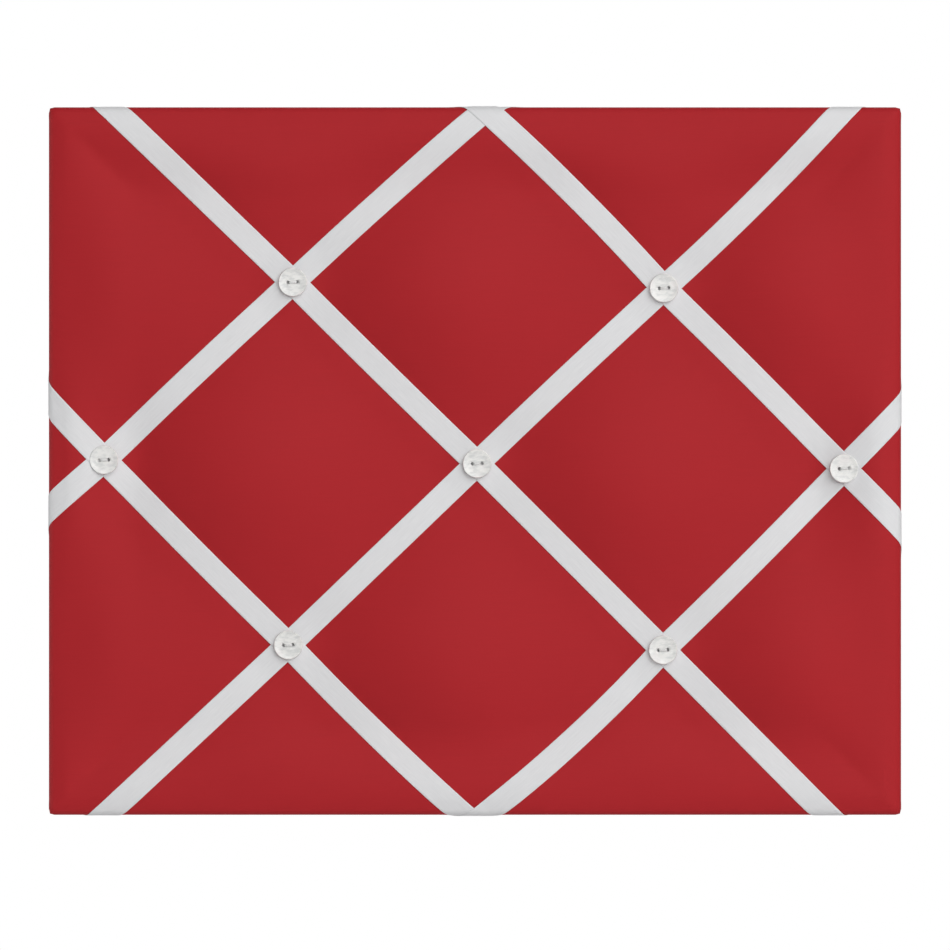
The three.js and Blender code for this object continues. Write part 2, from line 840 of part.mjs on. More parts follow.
const routes = Object.entries(ribbons).map(([name, ribbon]) => ({ name, ...ribbonRoute(ribbon) }));
const staples = routes.flatMap((route) => route.ends.map((end) => end.staple));
const stapleCuts = staples.map((staple) => stapleGeometry(staple, stapleClearance));

const boardShape = roundedRectangle(coreHalfX, coreHalfZ, coreCorner);
const boardSheet = sheetGeometry(boardShape, backingThickness, frontPlane);
addPiece('backing_board', cut(boardSheet, [...needleHoles, ...stapleCuts, ...screwHoles]), hardboard);

// Padding
const paddingFront = softFront(0);
const paddingBack = edgeRing({ out: 0, forward: 0, push: sideBack.push }, 0);
const paddingMesh = closedMesh([
  ...paddingFront.triangles,
  ...band(paddingFront.last, paddingBack),
  ...fan(paddingBack),
]);
addPiece('padding', cut(paddingMesh, needleHoles), wadding);

// Cloth cover: over the front, round the edge, and folded onto the back as a hem
function clothSkin(thickness) {
  const front = softFront(thickness);
  const corner = edgeRing(sideBack, thickness);
  const hem = edgeRing(hemEdge, thickness);
  return { triangles: [...front.triangles, ...band(front.last, corner), ...band(corner, hem)], hem };
}

const clothOutside = clothSkin(coverOut);
const clothInside = clothSkin(coverIn);
const clothMesh = closedMesh([
  ...clothOutside.triangles,
  ...reversed(clothInside.triangles),
  ...band(clothOutside.hem, clothInside.hem),
]);
addPiece('fabric_cover', cut(clothMesh, [...needleHoles, ...stapleCuts]), redCotton);

// Ribbons and their staples
for (const { name, stations } of routes) {
  const strip = ribbonLoft(stations.map(stationCorners));
  addPiece(name, cut(strip, [...needleHoles, ...stapleCuts]), whiteRibbon);
}
staples.forEach((staple, index) => {
  addPiece(`ribbon_staple_${index + 1}`, stapleGeometry(staple, 0), nickel);
});

// Two-hole buttons: a flat foot, a round rim and a dished face
function buttonGeometry() {
  const radius = buttonDiameter / 2;
  const rimRadius = buttonRimDiameter / 2;
  const waist = buttonHeight / 2;
  const dish = buttonHeight - buttonDish;
  const foot = new THREE.Vector2(buttonFootDiameter / 2, 0);
  const rimRound = new THREE.QuadraticBezierCurve(
    new THREE.Vector2(radius, waist),
    new THREE.Vector2(radius, buttonHeight),
    new THREE.Vector2((radius + rimRadius) / 2, buttonHeight),
  );
  const footRound = new THREE.QuadraticBezierCurve(foot, new THREE.Vector2(radius, 0), rimRound.v0);
  const profile = [
    new THREE.Vector2(0, 0),
    ...footRound.getPoints(roundSteps),
    ...rimRound.getPoints(roundSteps).slice(1),
    new THREE.Vector2(rimRadius, buttonHeight),
    new THREE.Vector2(buttonDishDiameter / 2, dish),
    new THREE.Vector2(0, dish),
  ];
  const lathe = new THREE.LatheGeometry(profile, buttonSides);
  const holes = [-1, 1].map((sign) => {
    const x = sign * holeSpacing / 2;
    return rod(needleRadius, -cutAllowance, buttonHeight + cutAllowance, wireSides, x, 0);
  });
  return cut(lathe, holes);
}

const buttonSolid = buttonGeometry();

// Thread: up through one hole, over the bridge, down the other, and knotted behind the board
function threadGeometry(depth) {
  const half = holeSpacing / 2;
  const top = buttonHeight - buttonDish - threadClearance;
  const reach = top + bridgeRise * 4 / 3;
  const knotBack = -depth - threadClearance - knotHeight;
  const bend = new THREE.CubicBezierCurve3(
    new THREE.Vector3(-half, top, 0),
    new THREE.Vector3(-half, reach, 0),
    new THREE.Vector3(half, reach, 0),
    new THREE.Vector3(half, top, 0),
  );
  const legEnds = [-half, half].map((x) => new THREE.Vector3(x, knotBack + knotHeight / 2, 0));
  const route = new StationRoute([legEnds[0], ...bend.getPoints(bridgeSteps), legEnds[1]]);
  const section = new THREE.Shape();
  section.absarc(0, 0, threadDiameter / 2, 0, 2 * Math.PI);
  const strand = new THREE.ExtrudeGeometry(section, {
    steps: route.stations.length - 1,
    extrudePath: route,
    curveSegments: threadSides / 2,
  });
  const knotProfile = [
    [0, 0],
    [knotFlat / 2, 0],
    [knotDiameter / 2, knotHeight / 2],
    [knotFlat / 2, knotHeight],
    [0, knotHeight],
  ];
  const knot = new THREE.LatheGeometry(knotProfile.map(([r, h]) => new THREE.Vector2(r, h)), wireSides);
  knot.translate(0, knotBack, 0);
  return join(strand, knot);
}

for (const [name, [i, j]] of Object.entries(buttonCrossings)) {
  const { place, footY } = buttonFrame(i, j);
  const group = new THREE.Group();
  group.position.set(place.x, footY, place.y);
  group.rotation.set(Math.PI, buttonTurn, 0, 'YXZ');
  addPiece(`button_${name}`, buttonSolid.clone(), pearl, group);
  addPiece(`thread_${name}`, threadGeometry(backPlane - footY), whiteThread, group);
  memoBoard.add(group);
}

// Dust cover over the hems, tails and knots
const dustShape = roundedRectangle(boardWidth / 2 - dustInset, boardHeight / 2 - dustInset, cornerRadius);
addPiece('dust_cover', cut(sheetGeometry(dustShape, dustThickness, -dustThickness), screwHoles), blackFelt);

// Hangers: a strap folded round the straight bar of a D ring, held by a screw
function strapGeometry() {
  const neckY = leafTop + strapNeckBend;
  const neckZ = Math.sqrt((loopOutside + strapNeckBend) ** 2 - (neckY - loopOutside) ** 2);
  const neckAngle = Math.atan2(neckY - loopOutside, -neckZ);
  const shape = new THREE.Shape();
  shape.moveTo(-strapLength, 0);
  shape.lineTo(0, 0);
  shape.absarc(0, loopOutside, loopOutside, -Math.PI / 2, neckAngle, false);
  shape.absarc(-neckZ, neckY, strapNeckBend, neckAngle - Math.PI, -Math.PI / 2, true);
  shape.lineTo(-strapLength, leafTop);
  shape.lineTo(-strapLength, leafTop - strapSheet);
  shape.lineTo(-neckZ, leafTop - strapSheet);
  shape.absarc(-neckZ, neckY, strapNeckBend + strapSheet, -Math.PI / 2, neckAngle - Math.PI, false);
  shape.absarc(0, loopOutside, loopInside, neckAngle, -Math.PI / 2, true);
  shape.lineTo(-strapLength, strapSheet);
  const fold = new THREE.ExtrudeGeometry(shape, {
    depth: strapWidth,
    bevelEnabled: false,
    curveSegments: wireSides,
  });
  fold.rotateY(-Math.PI / 2);
  fold.translate(strapWidth / 2, 0, 0);
  const outline = new THREE.Shape();
  const half = strapWidth / 2;
  outline.moveTo(half, loopOutside + cutAllowance);
  outline.lineTo(-half, loopOutside + cutAllowance);
  outline.absarc(0, half - strapLength, half, Math.PI, 2 * Math.PI);
  const blank = sheetGeometry(outline, 2 * loopOutside + 2 * cutAllowance, -cutAllowance);
  const strap = toSolid(fold).intersect(toSolid(blank));
  const holeRadius = screwShank / 2 + screwClearance;
  const hole = rod(holeRadius, -cutAllowance, leafTop + cutAllowance, wireSides, 0, -screwDrop);
  return toGeometry(strap.subtract(toSolid(hole)));
}

// D ring: one bent wire whose ends meet inside the strap's loop
function ringGeometry() {
  const half = ringSpan / 2;
  const bow = (4 * ringReach - ringBend) / 3;
  const straight = half - ringBend;
  const route = new THREE.CurvePath();
  const flat = (x, z) => new THREE.Vector3(x, 0, z);
  const bowCurve = new THREE.CubicBezierCurve3(flat(half, -ringBend), flat(half, -bow), flat(-half, -bow),
    flat(-half, -ringBend));
  route.add(new THREE.LineCurve3(flat(ringSeam / 2, 0), flat(straight, 0)));
  route.add(new THREE.QuadraticBezierCurve3(flat(straight, 0), flat(half, 0), bowCurve.v0));
  route.add(bowCurve);
  route.add(new THREE.QuadraticBezierCurve3(bowCurve.v3, flat(-half, 0), flat(-straight, 0)));
  route.add(new THREE.LineCurve3(flat(-straight, 0), flat(-ringSeam / 2, 0)));
  const section = new THREE.Shape();
  section.absarc(0, 0, ringWire / 2, 0, 2 * Math.PI);
  return new THREE.ExtrudeGeometry(section, {
    steps: ringSteps,
    extrudePath: route,
    curveSegments: wireSides / 2,
  });
}

// Pan-head wood screw with a cross recess
function screwGeometry() {
  const shank = screwShank / 2;
  const head = screwHead / 2;
  const profile = [
    [0, -screwLength],
    [shank, screwPoint - screwLength],
    [shank, 0],
    [head, 0],
    [head, screwHeadEdge],
    [screwHeadFlat / 2, screwHeadHeight],
    [0, screwHeadHeight],
  ];
  const lathe = new THREE.LatheGeometry(profile.map(([r, h]) => new THREE.Vector2(r, h)), 2 * wireSides);
  const arms = [[recessSpan, recessWidth], [recessWidth, recessSpan]].map(([width, length]) => {
    const arm = new THREE.BoxGeometry(width, 2 * recessDepth, length);
    arm.translate(0, screwHeadHeight, 0);
    return arm;
  });
  return cut(lathe, arms);
}

const strapSolid = strapGeometry();
const ringSolid = ringGeometry();
const screwSolid = screwGeometry();
for (const [name, group] of Object.entries(hangers)) {
  addPiece(`hanger_strap_${name}`, strapSolid.clone(), nickel, group);
  const ring = addPiece(`hanger_ring_${name}`, ringSolid.clone(), nickel, group);
  ring.position.y = loopOutside;
  ring.rotation.x = ringRestAngle;
  const screw = addPiece(`hanger_screw_${name}`, screwSolid.clone(), nickel, group);
  screw.position.set(0, leafTop, -screwDrop);
  memoBoard.add(group);
}

export default memoBoard;
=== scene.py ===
import math
import bpy
import numpy as np
from mathutils import Matrix, Vector


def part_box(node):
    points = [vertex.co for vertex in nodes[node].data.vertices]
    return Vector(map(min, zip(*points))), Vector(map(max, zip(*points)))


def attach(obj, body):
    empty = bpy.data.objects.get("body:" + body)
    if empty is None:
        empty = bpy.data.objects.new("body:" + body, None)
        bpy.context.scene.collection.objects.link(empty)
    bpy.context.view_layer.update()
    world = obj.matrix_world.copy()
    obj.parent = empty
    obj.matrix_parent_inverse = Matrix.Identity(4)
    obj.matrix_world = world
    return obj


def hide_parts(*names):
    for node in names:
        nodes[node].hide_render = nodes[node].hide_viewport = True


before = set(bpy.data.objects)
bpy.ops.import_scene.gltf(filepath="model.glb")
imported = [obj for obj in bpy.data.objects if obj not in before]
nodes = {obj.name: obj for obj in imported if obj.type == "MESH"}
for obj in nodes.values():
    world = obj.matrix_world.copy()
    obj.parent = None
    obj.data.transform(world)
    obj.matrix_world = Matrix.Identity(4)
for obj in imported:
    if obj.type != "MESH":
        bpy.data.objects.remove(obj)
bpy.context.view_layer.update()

mm = 0.001
hair = 1e-6

# the covered board, in millimetres: x right, z up, front towards -y, back on y = 0
board = {
    "width": 330.0, "height": 274.0, "backing": 5.0, "corner": 2.0, "cornerLeast": 0.6,
    "front": -7.85,  # y of the backing board's front face
    "cloth": 0.65,  # cloth's outside over the padding and the board
    "clothSheet": 0.5, "hem": 16.15,
}

# the hand-laid ribbon lattice
lattice = {
    "tilt": math.radians(0.8), "shift": (0.7, -1.6), "sideInset": 21.8, "edgeRise": 2.0,
    "offsets": {  # how far each crossing lies off the even lattice
        (0, 0): (0.1, 0.6), (0, -1): (-0.6, 0.3), (1, 0): (-0.2, 0), (-1, 0): (-0.4, -1.1), (0, 1): (1.4, -1),
        (1, 1): (-1.2, 0.7), (-1, -1): (-1, 0), (1, -1): (1.4, -1.5), (-1, 1): (0.5, 0.4),
        (0, -2): (-2.8, -0.1), (0, 2): (1.6, -2), (2, 0): (-1.6, 2.7), (-2, 0): (-0.8, -0.6),
        (-1, -2): (-0.5, 3.2), (-2, -1): (-2, 4.2), (1, 2): (-0.9, -0.4), (2, 1): (-4, 3.8),
    },
    "bows": [  # rising or not, line, start, sideways bow
        (True, -1, -1, -0.4), (True, -1, 0, -0.6), (True, 0, 0, -0.3), (True, 0, 1, 1.3), (True, 1, -1, 2.3),
        (True, 1, 0, 0.4), (False, -1, -1, -0.3), (False, -1, 0, -1.1), (False, 0, -1, -0.3),
        (False, 1, -1, 1.3), (False, 1, 0, 0.3),
    ],
    "buttons": {
        "centre": (0, 0), "upper_left": (0, -1), "upper_right": (1, 0), "lower_left": (-1, 0),
        "lower_right": (0, 1), "left": (-1, -1), "right": (1, 1),
    },
    "reach": 5,  # crossings worked out to each side of the middle
}

# the padding's swell under the cloth
quilt = {
    "crown": 14.8, "crownFall": 6.8, "crownReach": 55.0, "crownPower": 1.6, "edgeRound": 1.6,
    "rollReach": 6.0, "puff": 7.8, "puffCap": 1.5, "puffFade": 30.0,
    "lean": (0.25, 0.15),  # how far each puff leans to its lower left and upper left
    "tuft": 2.0, "tuftReach": 18.0, "tuftFade": 14.0,
    "seat": 5.95,  # half the spot under a button
    "seatFlat": 0.6,  # the share of it that is flat
    "seatStack": 0.3,  # two ribbons pressed under a button's foot
    "nest": 0.55, "nestFoot": 4.1, "nestRim": 6.8, "nestFade": 6.0,
    "bulge": 0.15, "bulgeAt": 8.5, "bulgeWidth": 3.2, "ribbonEdge": (4.9, 7.5),
    "step": 1.8, "cornerBlur": 60,
}

coreX = board["width"] / 2 - board["cloth"]
coreZ = board["height"] / 2 - board["cloth"]
rimX = coreX - quilt["rollReach"]
rimZ = coreZ - quilt["rollReach"]
pitchX = (board["width"] / 2 - lattice["sideInset"]) / 2
pitchZ = (board["height"] / 2 + lattice["edgeRise"]) / 2
pitch = math.hypot(pitchX, pitchZ)
riseWay = np.array([pitchX, pitchZ]) / pitch
fallWay = np.array([pitchX, -pitchZ]) / pitch


def smoothStep(value, low, high):
    share = np.clip((value - low) / (high - low), 0, 1)
    return share * share * (3 - 2 * share)


def unit(rows):
    return rows / np.linalg.norm(rows, axis=1)[:, None]


def runLength(line):  # distance along a line, at each of its points
    return np.concatenate([[0], np.cumsum(np.linalg.norm(np.diff(line, axis=0), axis=1))])


# lattice coordinates and places
def crossing(i, j):
    dx, dz = lattice["offsets"].get((i, j), (0, 0))
    x, z = (i + j) * pitchX, (i - j) * pitchZ
    c, s = math.cos(-lattice["tilt"]), math.sin(-lattice["tilt"])
    return x * c - z * s + lattice["shift"][0] + dx, x * s + z * c + lattice["shift"][1] + dz


latticeSteps = range(-lattice["reach"], lattice["reach"] + 1)
crossings = np.array([[crossing(i, j) for j in latticeSteps] for i in latticeSteps])


def layPoint(a, b):
    a, b = np.broadcast_arrays(np.asarray(a, float), np.asarray(b, float))
    i, j = (np.clip(np.floor(value).astype(int), -lattice["reach"], lattice["reach"] - 1) for value in (a, b))
    u, v = (a - i)[..., None], (b - j)[..., None]
    m, n = i + lattice["reach"], j + lattice["reach"]
    near = crossings[m, n] * (1 - u) + crossings[m + 1, n] * u
    far = crossings[m, n + 1] * (1 - u) + crossings[m + 1, n + 1] * u
    place = near * (1 - v) + far * v
    for rising, line, start, bow in lattice["bows"]:
        run = (a if rising else b) - start
        aside = np.abs((b if rising else a) - line)
        swing = bow * 4 * np.clip(run * (1 - run), 0, None) * np.clip(1 - aside, 0, None)
        place = place + swing[..., None] * (fallWay if rising else riseWay)
    return place


def latticeOf(x, z, guesses=8):  # the other way round, in a few better and better guesses
    even = np.linalg.inv(np.array([[pitchX, pitchX], [pitchZ, -pitchZ]]))
    flat = np.stack([x, z], -1)
    ab = flat @ even.T
    for _ in range(guesses):
        ab = ab + (flat - layPoint(ab[..., 0], ab[..., 1])) @ even.T
    return ab[..., 0], ab[..., 1]


def edgeDrop(inset):
    out = np.clip(1 - inset / quilt["crownReach"], 0, 1)
    corner = np.clip(1 - inset / quilt["edgeRound"], 0, 1)
    fall = quilt["crownFall"] * (1 - (1 - out ** quilt["crownPower"]) ** (1 / quilt["crownPower"]))
    return fall + quilt["edgeRound"] * (1 - np.sqrt(1 - corner ** 2))


def softTop(wave, least):  # |wave|, rounded off where it would crease under a ribbon
    return np.sqrt(wave * wave + least * least * np.exp(-(wave / least) ** 2))


def clothField(x, z):
    inset = np.minimum(coreX - np.abs(x), coreZ - np.abs(z))
    crown = quilt["crown"] - edgeDrop(np.maximum(inset, quilt["rollReach"]))
    for _ in range(quilt["cornerBlur"]):  # eases the mitre at the four corners
        crown[1:-1, 1:-1] = (crown[:-2, 1:-1] + crown[2:, 1:-1] + crown[1:-1, :-2] + crown[1:-1, 2:]) / 4
    least = math.sin(math.pi * quilt["seat"] / pitch)
    puff, bulge, clear = 1, np.zeros_like(x), np.ones_like(x)
    for value, lean in zip(latticeOf(x, z), quilt["lean"]):
        part = math.pi * (value - np.floor(value))
        puff = puff * softTop(np.sin(part) * (1 + 2 * lean * np.cos(part)), least)
        away = np.abs(value - np.clip(np.round(value), -1, 1)) * pitch  # from the nearest ribbon's middle
        bulge = np.maximum(bulge, np.exp(-((away - quilt["bulgeAt"]) / quilt["bulgeWidth"]) ** 2))
        clear *= smoothStep(away, *quilt["ribbonEdge"])
    groove = quilt["puff"] * (1 - np.clip(puff, 0, quilt["puffCap"]))
    tuft, nest = np.zeros_like(x), np.zeros_like(x)
    for i, j in lattice["buttons"].values():
        px, pz = crossing(i, j)
        away = np.hypot(x - px, z - pz)
        reach = np.maximum(away - quilt["seat"] * quilt["seatFlat"], 0)
        tuft += quilt["tuft"] * np.exp(-(reach / quilt["tuftReach"]) ** 2)
        past = np.maximum(away - quilt["nestRim"], 0)  # the padding closes in round the button's foot
        climb = quilt["nest"] * smoothStep(away, quilt["nestFoot"], quilt["nestRim"])
        nest += climb * np.exp(-(past / quilt["nestFade"]) ** 2)
    start = quilt["rollReach"]
    grooveShare = smoothStep(inset, start, start + quilt["puffFade"])
    tuftShare = smoothStep(inset, start, start + quilt["tuftFade"])
    swell = grooveShare * (quilt["bulge"] * bulge * clear - groove)
    return crown + swell + tuftShare * (nest - tuft) + board["cloth"]


columns = 2 * round(rimX / quilt["step"])
rows = 2 * round(rimZ / quilt["step"])
gridX = np.linspace(-rimX, rimX, columns + 1)
gridZ = np.linspace(-rimZ, rimZ, rows + 1)
fieldX, fieldZ = np.meshgrid(gridX, gridZ)
clothTop = clothField(fieldX, fieldZ)


def clothHeight(x, z):
    u = np.clip((np.asarray(x) + rimX) / (2 * rimX) * columns, 0, columns - hair)
    v = np.clip((np.asarray(z) + rimZ) / (2 * rimZ) * rows, 0, rows - hair)
    i, j = u.astype(int), v.astype(int)
    u, v = u - i, v - j
    low = clothTop[j, i] * (1 - u) + clothTop[j, i + 1] * u
    high = clothTop[j + 1, i] * (1 - u) + clothTop[j + 1, i + 1] * u
    return low * (1 - v) + high * v


for place, (i, j) in lattice["buttons"].items():  # the crossing comes up to meet its button's foot
    px, pz = crossing(i, j)
    away = np.hypot(fieldX - px, fieldZ - pz)
    foot = board["front"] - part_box("button_" + place)[1].y / mm
    missing = foot - quilt["seatStack"] - clothHeight(px, pz)
    clothTop += missing * np.exp(-(away / (2 * quilt["seat"])) ** 2)
print("cloth field", clothTop.shape, "from", round(clothTop.min(), 2), "to", round(clothTop.max(), 2), "mm")


# section of the wrapped edge: rolled front, side wall, back edge and hem
def edgeSection(thickness, rollSteps=12, wallSteps=5, turnSteps=5, hemSteps=5):
    heel = (0, -board["backing"])
    inset = quilt["rollReach"] * (1 - np.linspace(0, 1, rollSteps + 1)) ** 2
    roll = np.stack([-inset, quilt["crown"] - edgeDrop(inset)], 1)
    tangent = np.gradient(roll, axis=0)
    tangent[-1] = (0, -1)
    normal = unit(np.stack([-tangent[:, 1], tangent[:, 0]], 1))
    normal[0] = (0, 1)
    wall = np.linspace(roll[-1], heel, wallSteps + 1)[1:]
    turn = np.linspace(0, math.pi / 2, turnSteps + 1)[1:]
    turnNormal = np.stack([np.cos(turn), -np.sin(turn)], 1)
    hem = np.linspace(heel, (-board["hem"], heel[1]), hemSteps + 1)[1:]
    core = np.concatenate([roll, wall, np.tile(heel, (turnSteps, 1)), hem])
    normals = np.concatenate([normal, np.tile((1.0, 0.0), (wallSteps, 1)), turnNormal,
                              np.tile((0.0, -1.0), (hemSteps, 1))])
    line = core + normals * thickness
    past = runLength(line)
    return {"line": line, "normal": normals, "past": past, "count": len(past), "rollCount": rollSteps + 1,
            "wallFrom": past[rollSteps], "backFrom": past[rollSteps + wallSteps + turnSteps]}


wrap = edgeSection(board["cloth"])


def cornerRadius(out):
    inner = board["corner"] - board["cloth"]
    return max(inner * (1 + out / quilt["rollReach"]), board["cornerLeast"])


def edgePlace(side, along, past, lift):  # side 0 top, 1 right, 2 bottom, 3 left
    past = np.asarray(past, float)
    out, forward, normalOut, normalForward = (np.interp(past, wrap["past"], values)
                                              for values in (*wrap["line"].T, *wrap["normal"].T))
    out = out - np.maximum(past - wrap["past"][-1], 0) + normalOut * lift
    y = board["front"] - (forward + normalForward * lift)
    reach = (coreZ if side % 2 == 0 else coreX) + out
    sign = 1 if side < 2 else -1
    if side % 2 == 0:
        return np.stack([along + 0 * out, y, sign * reach], -1)
    return np.stack([sign * reach, y, along + 0 * out], -1)


dressed = []  # every piece, with the finish that it is to wear


def addObject(name, data):
    thing = bpy.data.objects.new(name, data)
    bpy.context.scene.collection.objects.link(thing)
    return thing


def looseShape(name, shape):
    mesh = bpy.data.meshes.new(name)
    mesh.from_pydata(shape[0], [], shape[1])
    return addObject(name, mesh)


def enlist(piece, slot, node=None, body="board"):
    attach(piece, body)
    if node:
        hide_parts(node)
    dressed.append((piece, slot))
    return piece


def shadeSmooth(mesh):
    mesh.polygons.foreach_set("use_smooth", [True] * len(mesh.polygons))


def makePiece(name, points, faces, slot, node=None, uvs=None):
    mesh = bpy.data.meshes.new(name)
    mesh.from_pydata((np.asarray(points) * mm).tolist(), [], faces)
    mesh.validate()
    if uvs is not None:
        layer = mesh.uv_layers.new(name="lay")
        corner = np.zeros(len(mesh.loops), dtype=np.int32)
        mesh.loops.foreach_get("vertex_index", corner)
        layer.data.foreach_set("uv", np.asarray(uvs, np.float32)[corner].ravel())
    shadeSmooth(mesh)
    mesh.update()
    return enlist(addObject(name, mesh), slot, node)


def gridFaces(rowCount, columnCount):
    width = columnCount + 1
    corners = [r * width + c for r in range(rowCount) for c in range(columnCount)]
    return [(p, p + 1, p + width + 1, p + width) for p in corners]


def bandFaces(first, second):  # quads between two closed rows of points
    after = [(n + 1) % len(first) for n in range(len(first))]
    return [(first[n], first[m], second[m], second[n]) for n, m in enumerate(after)]


def rowFaces(rowCount, ring):  # closed rows one after another, capped at both ends
    loops = [range(n * ring, (n + 1) * ring) for n in range(rowCount)]
    faces = [face for pair in zip(loops, loops[1:]) for face in bandFaces(*pair)]
    return faces + [tuple(loops[0][::-1]), tuple(loops[-1])]


def backFaces(faces, start=0):  # the same faces seen from the other side
    return [tuple(start + p for p in reversed(face)) for face in faces]


def sheetFaces(faces, edge, start):  # a front, its back from the point start on, and the edge between them
    return faces + backFaces(faces, start) + bandFaces(edge, [start + p for p in edge])


def borderLoop(columnCount, rowCount):  # a grid's border, clockwise from the upper left
    width = columnCount + 1
    top = [rowCount * width + c for c in range(columnCount)]
    right = [r * width + columnCount for r in range(rowCount, 0, -1)]
    bottom = list(range(columnCount, 0, -1))
    left = [r * width for r in range(rowCount)]
    return top + right + bottom + left


# the soft cover: quilted front grid, then rings round the edge
def onLevelSide(z):  # on the top or bottom border
    return np.abs(np.abs(z) - rimZ) < hair


def ringPlaces(border, out, radius):  # the border's points carried out to a rounded rectangle
    ring, level = np.zeros_like(border), onLevelSide(border[:, 1])
    halves, rims = (coreX + out, coreZ + out), (rimX, rimZ)
    for axis, mask in enumerate((level, ~level)):
        mine, theirs = border[:, axis] / rims[axis], border[:, 1 - axis]
        straight = halves[axis] - radius
        run = np.abs(mine) * (straight + radius * math.pi / 4)
        angle = np.clip(run - straight, 0, None) / radius
        along = np.sign(mine) * (np.minimum(run, straight) + radius * np.sin(angle))
        across = np.sign(theirs) * (halves[1 - axis] - radius + radius * np.cos(angle))
        ring[mask, axis], ring[mask, 1 - axis] = along[mask], across[mask]
    return ring[:, 0], ring[:, 1]


def softShell(thickness, section, stopAt, stepX, stepZ):
    xs, zs = np.meshgrid(stepX, stepZ)
    height = clothHeight(xs, zs) - board["cloth"] + thickness
    points = [np.stack([xs.ravel(), board["front"] - height.ravel(), zs.ravel()], 1)]
    uvs = [np.stack([xs.ravel(), zs.ravel()], 1)]
    faces = gridFaces(len(stepZ) - 1, len(stepX) - 1)
    edge = borderLoop(len(stepX) - 1, len(stepZ) - 1)
    border = uvs[0][edge]
    outward = np.sign(border) * np.where(onLevelSide(border[:, 1])[:, None], (0, 1), (1, 0))
    for k in range(1, stopAt):
        out, forward = section["line"][k]
        ringX, ringZ = ringPlaces(border, out, cornerRadius(out))
        start = sum(len(p) for p in points)
        points.append(np.stack([ringX, np.full(len(edge), board["front"] - forward), ringZ], 1))
        uvs.append(border + outward * section["past"][k])
        ring = list(range(start, start + len(edge)))
        faces += bandFaces(edge, ring)
        edge = ring
    return np.concatenate(points), faces, np.concatenate(uvs), edge


def makeCover():
    lining = board["cloth"] - board["clothSheet"]
    inner = edgeSection(lining)
    outside, faces, uvs, edge = softShell(board["cloth"], wrap, wrap["count"], gridX, gridZ)
    inside, _, innerUvs, _ = softShell(lining, inner, inner["count"], gridX, gridZ)
    faces = sheetFaces(faces, edge, len(outside))
    return makePiece("cloth_cover", np.concatenate([outside, inside]), faces, "red_cotton", "fabric_cover",
                     np.concatenate([uvs, innerUvs]))


wadding = {"columns": 80, "rows": 66}


def makePadding():  # under the cloth, down to the board's front
    stepX = np.linspace(-rimX, rimX, wadding["columns"] + 1)
    stepZ = np.linspace(-rimZ, rimZ, wadding["rows"] + 1)
    section = edgeSection(0.0)
    points, faces, _, edge = softShell(0.0, section, section["rollCount"], stepX, stepZ)
    foot = points[edge]
    foot[:, 1] = board["front"]
    base = range(len(points), len(points) + len(edge))
    faces += bandFaces(edge, base) + [tuple(base)]
    pad = makePiece("wadding_pad", np.concatenate([points, foot]), faces, "wadding", "padding")
    return pad


# the folded corners: the spare cloth, tucked flat against each side wall
pleat = {
    "run": 13.0, "layer": 0.22, "gap": 0.04, "taper": 4.0, "above": 1.5, "onBack": 5.5, "inset": 1.6,
    "tip": 0.5, "fold": 0.96, "foldHeight": 0.45, "underside": 0.5, "rows": 18, "cells": 12,
}


def makePleat(name, side, end):
    rowCount, cells = pleat["rows"], pleat["cells"]
    past = np.linspace(wrap["wallFrom"] - pleat["above"], wrap["backFrom"] + pleat["onBack"], rowCount + 1)
    wide = np.maximum(pleat["run"] * np.linspace(0, 1, rowCount + 1), pleat["tip"])
    share = np.concatenate([np.linspace(0, pleat["fold"], cells), [1.0]])
    away = wide[:, None] * share[None, :]
    along = end * (coreZ - pleat["inset"] - away)
    fold = np.where(share < 1, 1, pleat["foldHeight"])
    lift = pleat["gap"] + pleat["layer"] * smoothStep(away, 0, pleat["taper"]) * fold
    pasts = np.repeat(past, cells + 1)
    upper = edgePlace(side, along.ravel(), pasts, lift.ravel())
    lower = edgePlace(side, along.ravel(), pasts, pleat["gap"] * pleat["underside"])
    faces = sheetFaces(gridFaces(rowCount, cells), borderLoop(cells, rowCount), len(upper))
    if (side == 1) == (end > 0):
        faces = backFaces(faces)
    lay = np.stack([along.ravel(), pasts], 1)
    return makePiece(name, np.concatenate([upper, lower]), faces, "red_cotton", uvs=np.tile(lay, (2, 1)))


cover = makeCover()
padding = makePadding()
pleats = [makePleat("cover_pleat_" + name, side, end) for name, side, end in
          (("upper_left", 3, 1), ("upper_right", 1, 1), ("lower_left", 3, -1), ("lower_right", 1, -1))]
cut = [2 * (half + wrap["past"][-1]) * mm for half in (rimX, rimZ)]  # the cloth's cut size, before wrapping
print("cover cut to", [round(side, 4) for side in cut], "m")

# ribbons: woven strips that follow the lattice lines, then wrap round the edge
ribbon = {
    "width": 9.4, "thickness": 0.2, "gap": 0.03, "cords": 15, "selvedge": 0.8, "lip": 0.06, "lipHeight": 0.7,
    "weaveInset": 0.15, "weaveHeight": 0.97, "backInset": 0.12,
    "step": 1.2, "edgeStep": 0.6, "edgeStepTo": 2.0, "easing": 12, "headingOver": 4,
    "crossLift": 0.22, "liftFrom": 0.3, "liftFade": 3.2, "tail": 21.0, "turn": 8.0, "turnFrom": 1.0,
    "strips": {  # line, rising, turned square near a corner, the strips that it lies over
        "fall_left": (-1, False, False, ("rise_left", "rise_middle")),
        "fall_middle": (0, False, True, ("rise_left", "rise_middle", "rise_right")),
        "fall_right": (1, False, False, ("rise_left", "rise_middle", "rise_right")),
        "rise_left": (-1, True, False, ()), "rise_middle": (0, True, True, ()),
        "rise_right": (1, True, False, ("fall_left",)),
    },
}


def overshoot(place):  # how far past each side's rim: top, right, bottom, left
    x, z = place
    return np.array([z - rimZ, x - rimX, -z - rimZ, -x - rimX])


